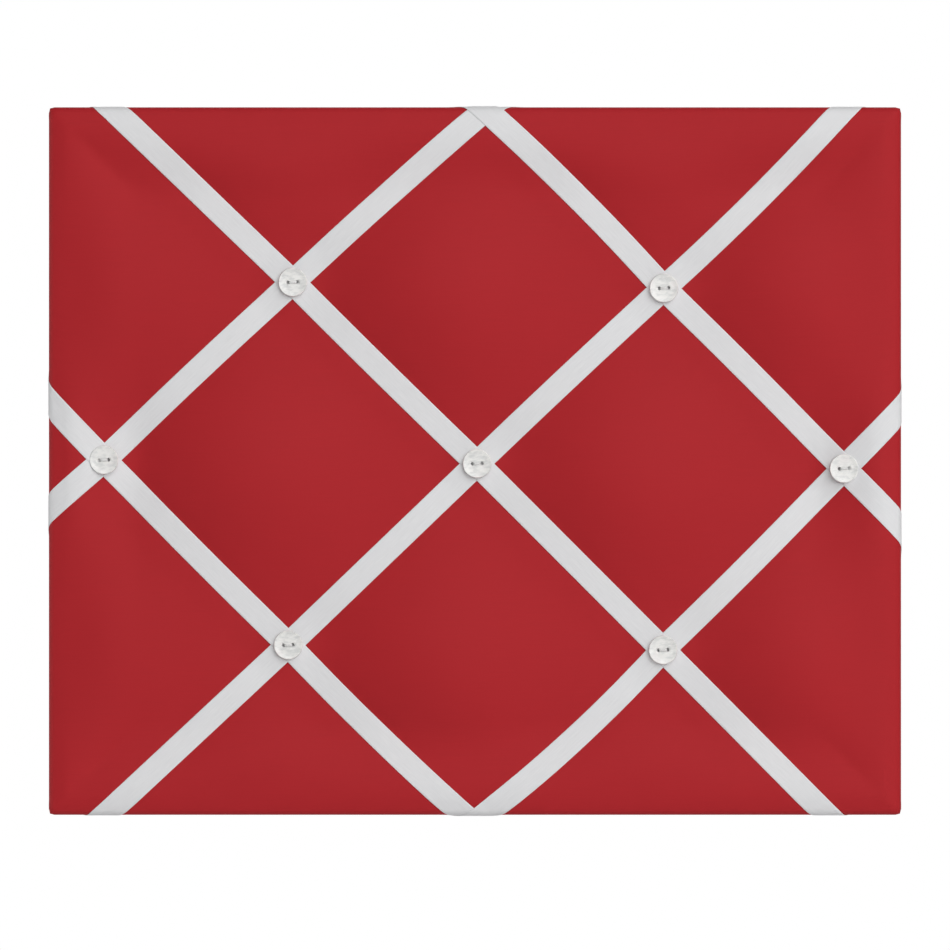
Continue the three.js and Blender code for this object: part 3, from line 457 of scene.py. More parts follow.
def ribbonTail(place, heading, squared):  # the lay past the rim, in the unrolled plane
    side = int(np.argmax(overshoot(place)))
    out = np.array([(0, 1), (1, 0), (0, -1), (-1, 0)][side], float)
    way = heading / np.linalg.norm(heading)
    start = math.atan2(way[1], way[0])
    swing = math.atan2(way[0] * out[1] - way[1] * out[0], way @ out)
    line, turned, past = [place], 0.0, overshoot(place)[side]
    while past < wrap["backFrom"] + ribbon["tail"]:
        fine = past < wrap["backFrom"] + ribbon["edgeStepTo"]
        step = ribbon["edgeStep"] if fine else ribbon["step"]
        if squared and past > wrap["wallFrom"] - ribbon["turnFrom"]:
            turned = min(turned + step / ribbon["turn"], 1)
        angle = start + swing * turned
        line.append(line[-1] + step * np.array([math.cos(angle), math.sin(angle)]))
        past = overshoot(line[-1])[side]
    return np.array(line[1:]), side


def ribbonLay(line, rising, squared):
    def along(run):
        return layPoint(run, line) if rising else layPoint(line, run)

    def leaving(way, farthest=3.0, halvings=40):  # where the line crosses the rim, in lattice steps
        low, high = 0.0, farthest * way
        for _ in range(halvings):
            middle = (low + high) / 2
            low, high = (middle, high) if overshoot(along(middle)).max() < 0 else (low, middle)
        return low
    first, last = leaving(-1), leaving(1)
    front = along(np.linspace(first, last, round((last - first) * pitch / ribbon["step"]) + 1))
    for _ in range(ribbon["easing"]):  # a ribbon has no kink at a crossing
        front[1:-1] = (front[:-2] + 2 * front[1:-1] + front[2:]) / 4
    over = ribbon["headingOver"]
    head, headSide = ribbonTail(front[0], front[0] - front[over], squared)
    tail, tailSide = ribbonTail(front[-1], front[-1] - front[-1 - over], squared)
    return np.concatenate([head[::-1], front, tail]), headSide, tailSide


def surfacePlace(place, lift, side, bridge):
    out = overshoot(place)[side]
    if out <= 0:
        x, z = place
        return np.array([x, board["front"] - (max(clothHeight(x, z), bridge) + lift), z])
    return edgePlace(side, place[0] if side % 2 == 0 else place[1], out, lift)


def ribbonSection():  # round the strip: selvedges, woven face, flat back
    half, thick = ribbon["width"] / 2, ribbon["thickness"]
    weave, under = half - ribbon["selvedge"] - ribbon["weaveInset"], half - ribbon["backInset"]
    face = np.linspace(-weave, weave, ribbon["cords"])
    back = np.linspace(under, -under, ribbon["cords"])
    border = np.array([-half, -half + ribbon["lip"], -half + ribbon["selvedge"]])
    lip = np.array([ribbon["lipHeight"], 1, 1]) * thick
    across = np.concatenate([border, face, -border[::-1], back])
    rise = np.concatenate([lip, np.full(len(face), ribbon["weaveHeight"] * thick), lip[::-1], 0 * back])
    return across, rise


def makeRibbon(name, path, headSide, tailSide, under):
    tangent = unit(np.gradient(path, axis=0))
    aside = np.stack([-tangent[:, 1], tangent[:, 0]], 1)
    length, half = runLength(path), ribbon["width"] / 2
    clear = half + ribbon["liftFrom"]
    loopAcross, loopRise = ribbonSection()
    points, uvs = [], []
    for n, place in enumerate(path):
        side = headSide if n < len(path) / 2 else tailSide
        ends = [place + aside[n] * w for w in (-half, half)]
        left, right = [clothHeight(*end) for end in ends]
        if max(overshoot(end).max() for end in ends) > 0:
            left = right = 0
        spots = place + aside[n] * loopAcross[:, None]
        lift = np.full(len(spots), ribbon["gap"])
        if len(under):  # climbs over a strip that it crosses
            away = np.linalg.norm(spots[:, None] - under[None], axis=2).min(1)
            lift += ribbon["crossLift"] * (1 - smoothStep(away, clear, clear + ribbon["liftFade"]))
        for spot, w, h in zip(spots, loopAcross, lift + loopRise):
            bridge = left + (right - left) * (w + half) / (2 * half)  # straight from edge to edge
            points.append(surfacePlace(spot, h, side, bridge))
            uvs.append((length[n], w))
    faces = rowFaces(len(path), len(loopAcross))
    return makePiece("strip_" + name, points, faces, "white_ribbon", "ribbon_" + name, uvs)


lays = {name: ribbonLay(*lay) for name, (*lay, _) in ribbon["strips"].items()}
for name, (*_, over) in ribbon["strips"].items():
    under = np.concatenate([lays[other][0] for other in over]) if over else []
    makeRibbon(name, *lays[name], under)
print("ribbons cut to", {name: round(runLength(lay[0])[-1]) for name, lay in lays.items()}, "mm")

# pearl buttons, turned from a profile, with two holes
button = {
    "diameter": 11.4, "height": 2.3, "dish": 0.32, "foot": 8.2, "rim": 10.3, "dishFloor": 7.6, "drop": 0.2,
    "widest": 0.42,  # share of the height at which the side is widest
    "shoulder": 0.25, "rounds": (0.8, 0.9, 0.7, 0.5, 0.7), "sides": 72, "turn": math.radians(-3),
    "holeSpacing": 3.4, "hole": 1.4, "holeSides": 28,
}
through = 1  # how far a cutter passes what it cuts


def lathe(profile, sides):  # profile of (radius, height), closed on the axis at both ends
    points, faces, rings = [], [], []
    for radius, height in profile:
        if radius < hair:
            rings.append([len(points)])
            points.append((0, height, 0))
            continue
        rings.append(list(range(len(points), len(points) + sides)))
        for n in range(sides):
            angle = 2 * math.pi * n / sides
            points.append((radius * math.cos(angle), height, radius * math.sin(angle)))
    for low, high in zip(rings, rings[1:]):
        for n in range(sides):
            m = (n + 1) % sides
            if len(low) == 1:
                faces.append((low[0], high[n], high[m]))
            elif len(high) == 1:
                faces.append((low[n], high[0], low[m]))
            else:
                faces.append((low[n], high[n], high[m], low[m]))
    return points, faces


def roundedProfile(corners, radii, cuts=5, most=0.49):  # corners eased by quadratic bends
    line = [corners[0]]
    for before, here, after, radius in zip(corners, corners[1:], corners[2:], radii):
        here = np.array(here, float)
        back, on = (way / np.linalg.norm(way) * min(radius, np.linalg.norm(way) * most)
                    for way in (np.array(before) - here, np.array(after) - here))
        line += [tuple(here + back * (1 - t) ** 2 + on * t ** 2) for t in np.linspace(0, 1, cuts)]
    return line + [corners[-1]]


def cutHoles(name, shape, cutters):
    body = looseShape(name, shape)
    tools = [looseShape(name + "_cutter", cutter) for cutter in cutters]
    for tool in tools:
        modifier = body.modifiers.new("hole", "BOOLEAN")
        modifier.operation, modifier.object, modifier.solver = "DIFFERENCE", tool, "EXACT"
    bpy.context.view_layer.update()
    made = bpy.data.meshes.new_from_object(body.evaluated_get(bpy.context.evaluated_depsgraph_get()))
    for thing in [body] + tools:
        old = thing.data
        bpy.data.objects.remove(thing)
        bpy.data.meshes.remove(old)
    made.name = name
    shadeSmooth(made)
    return made


def rodShape(radius, low, high, sides, x, z):
    points, faces = lathe([(0, low), (radius, low), (radius, high), (0, high)], sides)
    return [(px + x, py, pz + z) for px, py, pz in points], faces


def makeButtonMesh():
    half, height, low = button["diameter"] / 2, button["height"], -button["drop"]
    floor = height - button["dish"]
    corners = [(0, low), (button["foot"] / 2, low), (half, height * button["widest"]),
               (half - button["shoulder"], height), (button["rim"] / 2, height),
               (button["dishFloor"] / 2, floor), (0, floor)]
    shape = lathe(roundedProfile(corners, button["rounds"]), button["sides"])
    holes = [rodShape(button["hole"] / 2, -through, height + through, button["holeSides"], x, 0)
             for x in (-button["holeSpacing"] / 2, button["holeSpacing"] / 2)]
    mesh = cutHoles("pearl_button", shape, holes)
    mesh.transform(Matrix.Scale(mm, 4))
    return mesh


buttonMesh = makeButtonMesh()
facing = Matrix.Rotation(button["turn"], 4, "Y") @ Matrix.Rotation(math.pi, 4, "X")
buttonPlaces = {}
for place, (i, j) in lattice["buttons"].items():
    x, z = crossing(i, j)
    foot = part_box("button_" + place)[1].y
    buttonPlaces[place] = Matrix.Translation((x * mm, foot, z * mm)) @ facing
    piece = addObject("pearl_" + place, buttonMesh)
    piece.matrix_world = buttonPlaces[place]
    enlist(piece, "pearl", "button_" + place)
print("buttons made:", len(buttonPlaces))

# sewing thread: doubled strands over the bridge and a knot behind the board
thread = {
    "strand": 0.23, "sides": 8, "pair": 0.26, "hug": 0.35, "dip": 0.5,
    "rise": 0.3, "archPower": 0.6, "archSteps": 13, "archSpan": 0.97, "archSink": 0.15, "gather": 0.35,
    "knot": 2.4, "knotTurns": 3, "knotSteps": 14, "knotClose": 40, "knotGap": 0.2, "knotPitch": 0.05,
    "knotFlat": 0.45, "knotSides": 6, "knotRoom": 1.3,
}


def tube(path, radius, sides, steep=0.9):
    path = np.array(path, float)
    tangent = unit(np.gradient(path, axis=0))
    guide = np.array((0, 0, 1) if abs(tangent[0][2]) < steep else (1, 0, 0), float)
    points = []
    for place, way in zip(path, tangent):
        guide = guide - way * (guide @ way)
        guide /= np.linalg.norm(guide)
        other = np.cross(way, guide)
        for k in range(sides):
            angle = 2 * math.pi * k / sides
            points.append(place + radius * (math.cos(angle) * guide + math.sin(angle) * other))
    return points, rowFaces(len(path), sides)


def joinShapes(shapes):
    points, faces = [], []
    for shapePoints, shapeFaces in shapes:
        start = len(points)
        points += [tuple(p) for p in shapePoints]
        faces += [tuple(start + k for k in face) for face in shapeFaces]
    return points, faces


def threadShape(depth):
    half, top = button["holeSpacing"] / 2 - thread["hug"], button["height"] - button["dish"]
    mouth, shapes = top - thread["dip"], []
    for offset in (-thread["pair"], thread["pair"]):
        path = [(-half, -depth, offset), (-half, mouth, offset)]
        for t in np.linspace(0, 1, thread["archSteps"]):
            arch = math.sin(math.pi * t)
            lift = thread["rise"] * arch ** thread["archPower"] + thread["strand"]
            path.append((half * (2 * t - 1) * thread["archSpan"], top - thread["archSink"] + lift,
                         offset * (1 - thread["gather"] * arch)))
        path += [(half, mouth, offset), (half, -depth, offset)]
        shapes.append(tube(path, thread["strand"], thread["sides"]))
    coil = []
    for t in np.linspace(0, 2 * math.pi * thread["knotTurns"], thread["knotSteps"] * thread["knotTurns"]):
        coil.append((thread["knot"] * math.cos(t) * (1 - t / thread["knotClose"]),
                     -depth - thread["knotGap"] - thread["knotPitch"] * t,
                     thread["knotFlat"] * thread["knot"] * math.sin(t)))
    shapes.append(tube(coil, thread["strand"], thread["knotSides"]))
    return joinShapes(shapes)


for place, spot in buttonPlaces.items():
    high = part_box("thread_" + place)[1]
    points, faces = threadShape((high.y - spot.translation.y) / mm - thread["knotRoom"])
    rest = np.array([spot @ Vector(np.array(p) * mm) for p in points]) / mm
    makePiece("stitch_" + place, rest, faces, "white_thread", "thread_" + place)
print("threads made:", len(buttonPlaces))

# back: dust cover of black non-woven cloth, with staples round it
dust = {
    "width": 316.0, "height": 260.0, "thickness": 0.6, "step": 3.0, "sag": 0.12, "sagWaves": (31, 27),
    "drop": 1.42, "dropFrom": 3.0, "dropTo": 13.0, "stapleClear": (7, 18), "sharp": math.radians(50),
    "stapleInset": 4.0, "stapleCrown": 10.0, "stapleWire": 0.55, "wireSides": 8, "stapleCounts": (5, 3),
    "stapleBend": ((0, -2.0), (0, -0.25), (0.12, 0.08), (0.4, 0.2)),  # inward from the leg, height
    "lean": 7, "leanStep": 2.3, "leanStart": 0.7,
}
ribbonStaples = [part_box(name) for name in nodes if name.startswith("ribbon_staple")]
ribbonStaples = [((low.x + high.x) / 2 / mm, (low.z + high.z) / 2 / mm) for low, high in ribbonStaples]


def dustDrop(x, z):  # pulled down to the hem at the rim, but not over a ribbon's staple
    inset = np.minimum(dust["width"] / 2 - np.abs(x), dust["height"] / 2 - np.abs(z))
    drop = dust["drop"] * (1 - smoothStep(inset, dust["dropFrom"], dust["dropTo"]))
    for px, pz in ribbonStaples:
        drop = drop * smoothStep(np.hypot(x - px, z - pz), *dust["stapleClear"])
    waveX, waveZ = dust["sagWaves"]
    return drop + dust["sag"] * (0.5 + 0.5 * np.sin(x / waveX) * np.cos(z / waveZ))


def makeDustCover():
    xs, zs = (np.linspace(-size / 2, size / 2, round(size / dust["step"]) + 1)
              for size in (dust["width"], dust["height"]))
    gx, gz = (grid.ravel() for grid in np.meshgrid(xs, zs))
    back = np.stack([gx, -dustDrop(gx, gz), gz], 1)
    inner = back - np.array([0, dust["thickness"] - dust["sag"], 0])
    across, up = len(xs) - 1, len(zs) - 1
    faces = backFaces(sheetFaces(gridFaces(up, across), borderLoop(across, up), len(back)))
    sheet = makePiece("dust_sheet", np.concatenate([back, inner]), faces, "black_felt", "dust_cover")
    sheet.data.set_sharp_from_angle(angle=dust["sharp"])


def makeDustStaples():
    halfX, halfZ = dust["width"] / 2 - dust["stapleInset"], dust["height"] / 2 - dust["stapleInset"]
    sides = zip((halfX, halfZ), (halfZ, halfX), dust["stapleCounts"], (False, True))
    places = []
    for half, other, count, turned in sides:
        for n in range(count):
            along = -half + (n + 0.5) * 2 * half / count
            for sign in (-1, 1):
                lean = dust["lean"] * math.sin(dust["leanStep"] * len(places) + dust["leanStart"])
                places.append((sign * other, along, 90 + lean) if turned else (along, sign * other, lean))
    bend = [(s - dust["stapleCrown"] / 2, h) for s, h in dust["stapleBend"]]
    line = bend + [(0, bend[-1][1])] + [(-s, h) for s, h in reversed(bend)]
    shapes = []
    for x, z, angle in places:
        way = np.array([math.cos(math.radians(angle)), 0, math.sin(math.radians(angle))])
        seat = np.array([x, -float(dustDrop(np.float64(x), np.float64(z))), z])
        path = [seat + way * s + np.array([0, h, 0]) for s, h in line]
        shapes.append(tube(path, dust["stapleWire"] / 2, dust["wireSides"]))
    makePiece("dust_staples", *joinShapes(shapes), "nickel")


makeDustCover()
makeDustStaples()
print("dust cover made")

# hangers: a folded strap, a D ring that swings in it and a pan-head screw
hanger = {
    "width": 9.0, "length": 22.0, "sheet": 0.8, "leafGap": 0.2, "neck": 0.3, "tipCut": 0.12, "tipLeast": 0.01,
    "wire": 2.0, "wireSides": 20, "play": 0.15, "span": 15.0, "reach": 12.0, "bend": 2.2, "seam": 0.4,
    "rest": math.radians(5.5), "edge": 0.14, "edgeSegments": 2, "sharp": math.radians(50),
    "tipPoints": 10, "leafPoints": (8, 7), "loopPoints": 26, "neckPoints": 7, "acrossPoints": 9,
    "barPoints": 5, "bendPoints": 9, "bowPoints": 41, "domePoints": 9,
    "head": 6.0, "headHeight": 1.8, "headRim": 0.55, "headRound": 0.2, "screwSides": 48,
    "shank": 2.4, "screwDepth": 8.0, "point": 0.3, "blunt": 0.4, "taper": 2.4,
    "recess": (3.4, 0.8, 1.1),  # length, width and depth of each slot
    "holePlay": 0.3, "holeSides": 32,
    "places": {
        "top": Matrix.Translation((0, 0, 107 * mm)),
        "side": Matrix.Translation((135 * mm, 0, 0)) @ Matrix.Rotation(math.pi / 2, 4, "Y"),
    },
}
loopRadius = hanger["wire"] / 2 + hanger["play"] + hanger["sheet"] / 2
loopAxis = loopRadius + hanger["sheet"] / 2
leafTop = 2 * hanger["sheet"] + hanger["leafGap"]
screwAt = hanger["length"] - hanger["width"] / 2


def boxShape(width, depth, length, y):
    x, h, z = width / 2, depth / 2, length / 2
    points = [(sx * x, y + sy * h, sz * z) for sx in (-1, 1) for sy in (-1, 1) for sz in (-1, 1)]
    return points, [(0, 1, 3, 2), (4, 6, 7, 5), (0, 4, 5, 1), (2, 3, 7, 6), (0, 2, 6, 4), (1, 5, 7, 3)]


def strapShape():  # a line of (z, y, normal z, normal y): leaf, loop, neck, leaf
    half, end = hanger["sheet"] / 2, hanger["width"] / 2
    neckY = leafTop + hanger["neck"]
    neckZ = math.sqrt((loopAxis + hanger["neck"]) ** 2 - (neckY - loopAxis) ** 2)
    neckAngle = math.atan2(neckY - loopAxis, -neckZ)
    turns = np.linspace(math.pi / 2 - hanger["tipCut"], 0, hanger["tipPoints"])
    tip = [-screwAt - end * math.sin(t) for t in turns]
    lower, upper = hanger["leafPoints"]
    line = [(z, half, 0, -1) for z in tip + list(np.linspace(-screwAt, 0, lower)[1:-1])]
    for t in np.linspace(-math.pi / 2, neckAngle, hanger["loopPoints"]):
        line.append((loopRadius * math.cos(t), loopAxis + loopRadius * math.sin(t), math.cos(t), math.sin(t)))
    bend = hanger["neck"] + half
    for t in np.linspace(neckAngle - math.pi, -math.pi / 2, hanger["neckPoints"])[1:]:
        line.append((bend * math.cos(t) - neckZ, neckY + bend * math.sin(t), -math.cos(t), -math.sin(t)))
    line += [(z, leafTop - half, 0, 1) for z in list(np.linspace(-neckZ, -screwAt, upper)[1:-1]) + tip[::-1]]
    across, points = np.linspace(-1, 1, hanger["acrossPoints"]), []
    for z, y, normalZ, normalY in line:
        wide = end if z > -screwAt else math.sqrt(max(end ** 2 - (z + screwAt) ** 2, hanger["tipLeast"]))
        points += [(wide * w, y + normalY * half, z + normalZ * half) for w in across]
        points += [(wide * w, y - normalY * half, z - normalZ * half) for w in across[::-1]]
    return points, backFaces(rowFaces(len(line), 2 * len(across)))


def ringShape():  # half the bar, a corner, the bow, then the other corner and half
    half, straight = hanger["span"] / 2, hanger["span"] / 2 - hanger["bend"]
    bow = (4 * hanger["reach"] - hanger["bend"]) / 3
    side = [(x, 0, 0) for x in np.linspace(hanger["seam"] / 2, straight, hanger["barPoints"])]
    for t in np.linspace(0, 1, hanger["bendPoints"])[1:]:
        x = straight * (1 - t) ** 2 + 2 * half * t * (1 - t) + half * t * t
        side.append((x, 0, -hanger["bend"] * t * t))
    path = list(side)
    for t in np.linspace(0, 1, hanger["bowPoints"])[1:]:
        x = half * ((1 - t) ** 3 + 3 * t * (1 - t) ** 2 - 3 * t * t * (1 - t) - t ** 3)
        z = -hanger["bend"] * ((1 - t) ** 3 + t ** 3) - 3 * bow * t * (1 - t)
        path.append((x, 0, z))
    path += [(-x, y, z) for x, y, z in side[-2::-1]]
    points, faces = tube(path, hanger["wire"] / 2, hanger["wireSides"])
    turn = Matrix.Translation((0, loopAxis, 0)) @ Matrix.Rotation(hanger["rest"], 4, "X")
    return [turn @ Vector(p) for p in points], faces


def screwShape():
    head, shank, low = hanger["head"] / 2, hanger["shank"] / 2, -hanger["screwDepth"]
    top, rim, curl = hanger["headHeight"], hanger["headRim"], hanger["headRound"]
    point = [(0, low), (shank * hanger["point"], low + hanger["blunt"]), (shank, low + hanger["taper"])]
    angles = np.linspace(0, math.pi / 2, hanger["domePoints"])[:-1]
    dome = [(head * math.cos(t), rim + (top - rim) * math.sin(t)) for t in angles]
    under = [(shank, 0), (head - curl, 0), (head, curl)]
    return lathe(point + under + dome + [(0, top)], hanger["screwSides"])


def placeHanger(name, shape, cutters, node, body, spot, shift=(0, 0, 0)):
    mesh = cutHoles(name, shape, cutters)
    mesh.transform(spot @ Matrix.Scale(mm, 4) @ Matrix.Translation(shift))
    piece = addObject(name, mesh)
    bevel = piece.modifiers.new("edges", "BEVEL")
    bevel.width, bevel.segments = hanger["edge"] * mm, hanger["edgeSegments"]
    bevel.limit_method, bevel.angle_limit = "ANGLE", hanger["sharp"]
    return enlist(piece, "nickel", node, body)


def makeHangers():
    made = []
    wide, narrow, deep = hanger["recess"]
    radius = hanger["shank"] / 2 + hanger["holePlay"]
    hole = rodShape(radius, -through, leafTop + through, hanger["holeSides"], 0, -screwAt)
    cross = [boxShape(x, 2 * deep, z, hanger["headHeight"]) for x, z in ((wide, narrow), (narrow, wide))]
    for place, spot in hanger["places"].items():
        made += [
            placeHanger("strap_" + place, strapShape(), [hole], "hanger_strap_" + place, "board", spot),
            placeHanger("d_ring_" + place, ringShape(), [], "hanger_ring_" + place, "ring_" + place, spot),
            placeHanger("screw_" + place, screwShape(), cross, "hanger_screw_" + place, "board", spot,
                        (0, leafTop, -screwAt)),
        ]
    return made


print("hangers made:", len(makeHangers()))


# shader sums: a socket that adds the nodes its arithmetic needs
class Wire:
    def __init__(self, tree, socket=None):
        self.tree, self.socket = tree, socket

    def add(self, kind, settings=None, sockets=None, output=0):
        node = self.tree.nodes.new("ShaderNode" + kind)
        for name, value in (settings or {}).items():
            setattr(node, name, value)
        self.feed(node, sockets or {})
        return Wire(self.tree, node.outputs[output])

    def feed(self, node, sockets):
        for name, value in sockets.items():
            if isinstance(value, Wire):
                self.tree.links.new(value.socket, node.inputs[name])
            else:
                node.inputs[name].default_value = value

    def sum(self, operation, first, second=0.0):
        return self.add("Math", {"operation": operation}, {0: first, 1: second})

    def __add__(self, other):
        return self.sum("ADD", self, other)

    def __sub__(self, other):
        return self.sum("SUBTRACT", self, other)

    def __rsub__(self, other):
        return self.sum("SUBTRACT", other, self)

    def __mul__(self, other):
        return self.sum("MULTIPLY", self, other)

    __radd__, __rmul__ = __add__, __mul__

    def sine(self):
        return self.sum("SINE", self)

    def between(self, low, high):  # eased 0 to 1
        return self.add("MapRange", {"interpolation_type": "SMOOTHSTEP"},
                        {"Value": self, "From Min": low, "From Max": high})

    def colours(self, first, second):  # first at 0, second at 1
        return self.add("Mix", {"data_type": "RGBA"}, {0: self, 6: first, 7: second}, 2)

    def bump(self, strength, distance):
        return self.add("Bump", None, {"Strength": strength, "Distance": distance, "Height": self})

    def stretched(self, scale):
        return self.add("Mapping", None, {"Vector": self, "Scale": scale})

    def noise(self, scale, detail=2.0, rough=0.5):
        return self.add("TexNoise", None,
                        {"Vector": self, "Scale": scale, "Detail": detail, "Roughness": rough})


def newMaterial(name, look, varying):  # the look's fixed values, and what varies over the surface
    material = bpy.data.materials.new(name)
    material.use_nodes = True
    wire = Wire(material.node_tree)
    wire.feed(material.node_tree.nodes["Principled BSDF"], {**look["fixed"], **varying(wire, look)})
    return material


def localPlace(wire):
    return wire.add("TexCoord", output="Object")


def layPlace(wire):  # the cloth's own flat coordinates, in millimetres
    lay = wire.add("UVMap", {"uv_map": "lay"})
    return lay, *(wire.add("SeparateXYZ", None, {0: lay}, axis) for axis in "XY")


def woven(look, tone, yarns, nap):  # what the cloth and the ribbons have in common
    rough, roughNap = look["rough"]
    return {"Base Color": tone.between(0, 1).colours(*look["tones"]), "Roughness": rough + nap * roughNap,
            "Normal": (yarns + nap * look["napRelief"]).bump(*look["bump"])}


cotton = {
    "fixed": {"Sheen Weight": 0.08, "Sheen Roughness": 0.5, "Sheen Tint": (0.8, 0.12, 0.12, 1),
              "Specular IOR Level": 0.12},
    "tones": ((0.36, 0.0135, 0.018, 1), (0.48, 0.0215, 0.028, 1)),
    "yarn": 0.33, "slubScale": (0.06, 1.9, 1), "cloudScale": 0.02,
    "weave": 0.12, "slub": 0.2, "cloud": 0.1, "level": 0.36,  # shares of the tone
    "rough": (0.55, 0.15), "napRelief": 0.6, "bump": (0.25, 0.05 * mm),
}


def cottonWeave(wire, look):
    lay, across, along = layPlace(wire)
    turn = 2 * math.pi / look["yarn"]
    weave = (across * turn).sine() * (along * turn).sine()
    slub = lay.stretched(look["slubScale"]).noise(1.0)
    cloud = lay.noise(look["cloudScale"], 3.0)
    tone = weave * look["weave"] + slub * look["slub"] + cloud * look["cloud"] + look["level"]
    return woven(look, tone, weave, slub)


satin = {
    "fixed": {"Sheen Weight": 0.1, "Specular IOR Level": 0.35},
    "tones": ((0.68, 0.68, 0.693, 1), (0.805, 0.805, 0.812, 1)),
    "ribPitch": 0.42, "fibreScale": (0.15, 3.2, 1),
    "rib": 0.06, "fibre": 0.7, "level": 0.15,  # shares of the tone
    "rough": (0.5, 0.2), "napRelief": 0.5, "bump": (0.2, 0.04 * mm),
}


def satinWeave(wire, look):
    lay, along, _ = layPlace(wire)
    rib = (along * (2 * math.pi / look["ribPitch"])).sine()
    fibre = lay.stretched(look["fibreScale"]).noise(1.0)
    tone = rib * look["rib"] + fibre * look["fibre"] + look["level"]
    return woven(look, tone, rib, fibre)


pearl = {
    "fixed": {"Coat Roughness": 0.2, "Coat Weight": 0.3, "Specular IOR Level": 0.45},
    "cream": (0.86, 0.855, 0.83, 1), "shade": (0.71, 0.715, 0.70, 1), "blush": (0.85, 0.80, 0.79, 1),
    "apart": (37, 41, 53),  # sets every button in another part of the noise
    "stretch": (1, 1, 2.4), "streak": (330.0, 4.0, 0.6), "streakFrom": (0.38, 0.6),
    "patch": (150.0, 2.0), "patchFrom": (0.5, 0.75), "patchShare": 0.5, "rough": (0.18, 0.25),
}


def shell(wire, look):
    local, place = localPlace(wire), wire.add("ObjectInfo", output="Location")
    shifted = wire.add("VectorMath", {"operation": "MULTIPLY_ADD"}, {0: place, 1: look["apart"], 2: local})
    streak = shifted.stretched(look["stretch"]).noise(*look["streak"])
    patch = shifted.noise(*look["patch"])
    base = streak.between(*look["streakFrom"]).colours(look["shade"], look["cream"])
    tint = (patch.between(*look["patchFrom"]) * look["patchShare"]).colours(base, look["blush"])
    rough, roughStreak = look["rough"]
    return {"Base Color": tint, "Roughness": rough + streak * roughStreak}


felt = {
    "fixed": {"Roughness": 0.92, "Specular IOR Level": 0.2},
    "tones": ((0.018, 0.018, 0.019, 1), (0.06, 0.06, 0.062, 1)),
    "dots": {"Scale": 520.0, "Randomness": 0.25}, "pressed": (0.12, 0.34), "fibre": (1700.0, 4.0, 0.6),
    "fibreShare": 0.6, "dotShare": 0.4, "bump": (0.35, 0.15 * mm),
}


def pressedFelt(wire, look):
    local = localPlace(wire)
    dots = wire.add("TexVoronoi", {"feature": "F1"}, {"Vector": local, **look["dots"]})
    pressed = dots.between(*look["pressed"])
    fibre = local.noise(*look["fibre"])
    tone = fibre * look["fibreShare"] + pressed * look["dotShare"]
    return {"Base Color": tone.colours(*look["tones"]),
            "Normal": (pressed + fibre * look["fibreShare"]).bump(*look["bump"])}


nickel = {
    "fixed": {"Metallic": 1.0}, "tones": ((0.58, 0.56, 0.53, 1), (0.76, 0.74, 0.71, 1)),
    "haze": (420.0, 3.0), "scuff": (900.0, 2.0), "stretch": (1, 1, 9), "rough": (0.16, 0.14, 0.1),
    "bump": (0.06, 0.05 * mm),
}


def plate(wire, look):
    local = localPlace(wire)
    haze = local.noise(*look["haze"])
    scuff = local.stretched(look["stretch"]).noise(*look["scuff"])
    rough, roughHaze, roughScuff = look["rough"]
    return {"Base Color": haze.colours(*look["tones"]), "Normal": scuff.bump(*look["bump"]),
            "Roughness": rough + haze * roughHaze + scuff * roughScuff}


# plain finishes made of fibres
fibrous = {
    "thread": {
        "fixed": {"Sheen Weight": 0.15, "Roughness": 0.7}, "fibre": (2600.0, 2.0),
        "tones": ((0.66, 0.66, 0.65, 1), (0.86, 0.86, 0.85, 1)), "bump": (0.4, 0.05 * mm),
    },
    "hardboard": {
        "fixed": {"Roughness": 0.8}, "fibre": (800.0, 6.0, 0.65),
        "tones": ((0.13, 0.07, 0.035, 1), (0.30, 0.18, 0.10, 1)), "bump": (0.3, 0.1 * mm),
    },
    "wadding": {
        "fixed": {"Roughness": 0.95, "Sheen Weight": 0.3}, "fibre": (300.0, 5.0, 0.7),
        "tones": ((0.72, 0.72, 0.70, 1), (0.88, 0.88, 0.86, 1)), "bump": (0.5, 0.4 * mm),
    },
    "floor": {
        "fixed": {"Roughness": 0.9}, "fibre": (3.0, 2.0),
        "tones": ((0.78, 0.78, 0.78, 1), (0.82, 0.82, 0.82, 1)),
    },
}


def fibres(wire, look):
    fibre = localPlace(wire).noise(*look["fibre"])
    relief = {"Normal": fibre.bump(*look["bump"])} if "bump" in look else {}
    return {"Base Color": fibre.colours(*look["tones"]), **relief}


finishes = {
    "red_cotton": newMaterial("red cotton", cotton, cottonWeave),
    "white_ribbon": newMaterial("white ribbon", satin, satinWeave),
    "pearl": newMaterial("pearl shell", pearl, shell),
    "white_thread": newMaterial("white thread", fibrous["thread"], fibres),
    "black_felt": newMaterial("black non-woven", felt, pressedFelt),
    "nickel": newMaterial("nickel plate", nickel, plate),
    "hardboard": newMaterial("hardboard", fibrous["hardboard"], fibres),
    "wadding": newMaterial("wadding", fibrous["wadding"], fibres),
}
dressed += [(node, "nickel") for name, node in nodes.items() if name.startswith("ribbon_staple")]
dressed.append((nodes["backing_board"], "hardboard"))
for thing, finish in dressed:
    thing.data.materials.clear()
    thing.data.materials.append(finishes[finish])
print("materials made:", len(finishes))

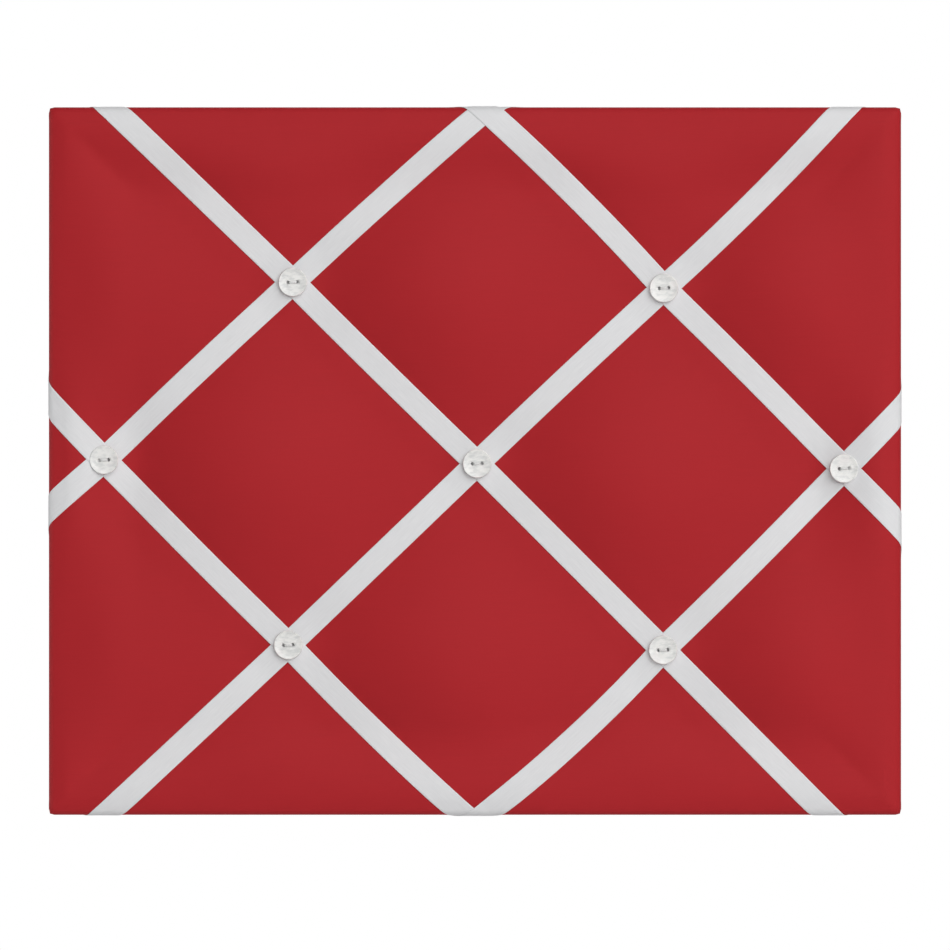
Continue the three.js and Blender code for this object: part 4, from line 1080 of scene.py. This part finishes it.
# studio: pale floor well below the hanging board, white surround, three broad soft lights
studio = {
    "floorZ": -0.45, "floorHalf": 1.8, "floorCells": 24, "surround": 0.10, "glowFrom": (-0.6, 1.0),
    "lights": {  # watts, place, size
        "key": (111.5, (1.25, -2.77, 1.5), 4.2), "left": (14.0, (-2.2, 0.35, 0.1), 1.2),
        "back": (74.0, (0.5, 2.5, 0.7), 4.4),
    },
}


def makeFloor():
    count, half = studio["floorCells"], studio["floorHalf"]
    line = np.linspace(-half, half, count + 1)
    gx, gy = np.meshgrid(line, line)
    points = np.stack([gx.ravel(), gy.ravel(), np.full(gx.size, studio["floorZ"])], 1)
    floor = looseShape("floor", (points.tolist(), gridFaces(count, count)))
    floor.data.materials.append(newMaterial("pale floor", fibrous["floor"], fibres))


def areaLight(name, energy, place, size):
    lamp = bpy.data.lights.new(name, "AREA")
    lamp.shape, lamp.size, lamp.energy = "DISK", size, energy
    light = addObject(name, lamp)
    light.location = place
    light.rotation_euler = (-Vector(place)).to_track_quat("-Z", "Y").to_euler()
    light.visible_camera = False


def makeWorld():
    world = bpy.data.worlds.new("surround")
    world.use_nodes = True
    bpy.context.scene.world = world
    background = world.node_tree.nodes["Background"]
    background.inputs["Color"].default_value = (1, 1, 1, 1)
    wire = Wire(world.node_tree)
    seen = wire.add("LightPath", output="Is Camera Ray")  # the backdrop itself, which stays plain white
    toBack = wire.add("SeparateXYZ", None, {0: wire.add("TexCoord", output="Generated")}, "Y")
    glow = (0.0 - toBack).between(*studio["glowFrom"]) * (2 * studio["surround"])  # brighter from the front
    wire.feed(background, {"Strength": glow * (1.0 - seen) + seen})
    bpy.context.scene.view_settings.view_transform = "Standard"


makeFloor()
for name, light in studio["lights"].items():
    areaLight(name, *light)
makeWorld()

# camera straight in front, as the photograph was taken
view = {"frameWidth": 367.5, "distance": 2400.0, "padding": 9, "centreZ": -5.4, "sensor": 36, "clipEnd": 50}
camera = bpy.data.cameras.new("camera")
camera.sensor_width, camera.clip_end = view["sensor"], view["clipEnd"]
camera.lens = camera.sensor_width * view["distance"] / view["frameWidth"]
cameraObject = addObject("camera", camera)
cameraObject.location = (0, (board["front"] - view["padding"] - view["distance"]) * mm, view["centreZ"] * mm)
cameraObject.rotation_euler = (math.pi / 2, 0, 0)
bpy.context.scene.camera = cameraObject
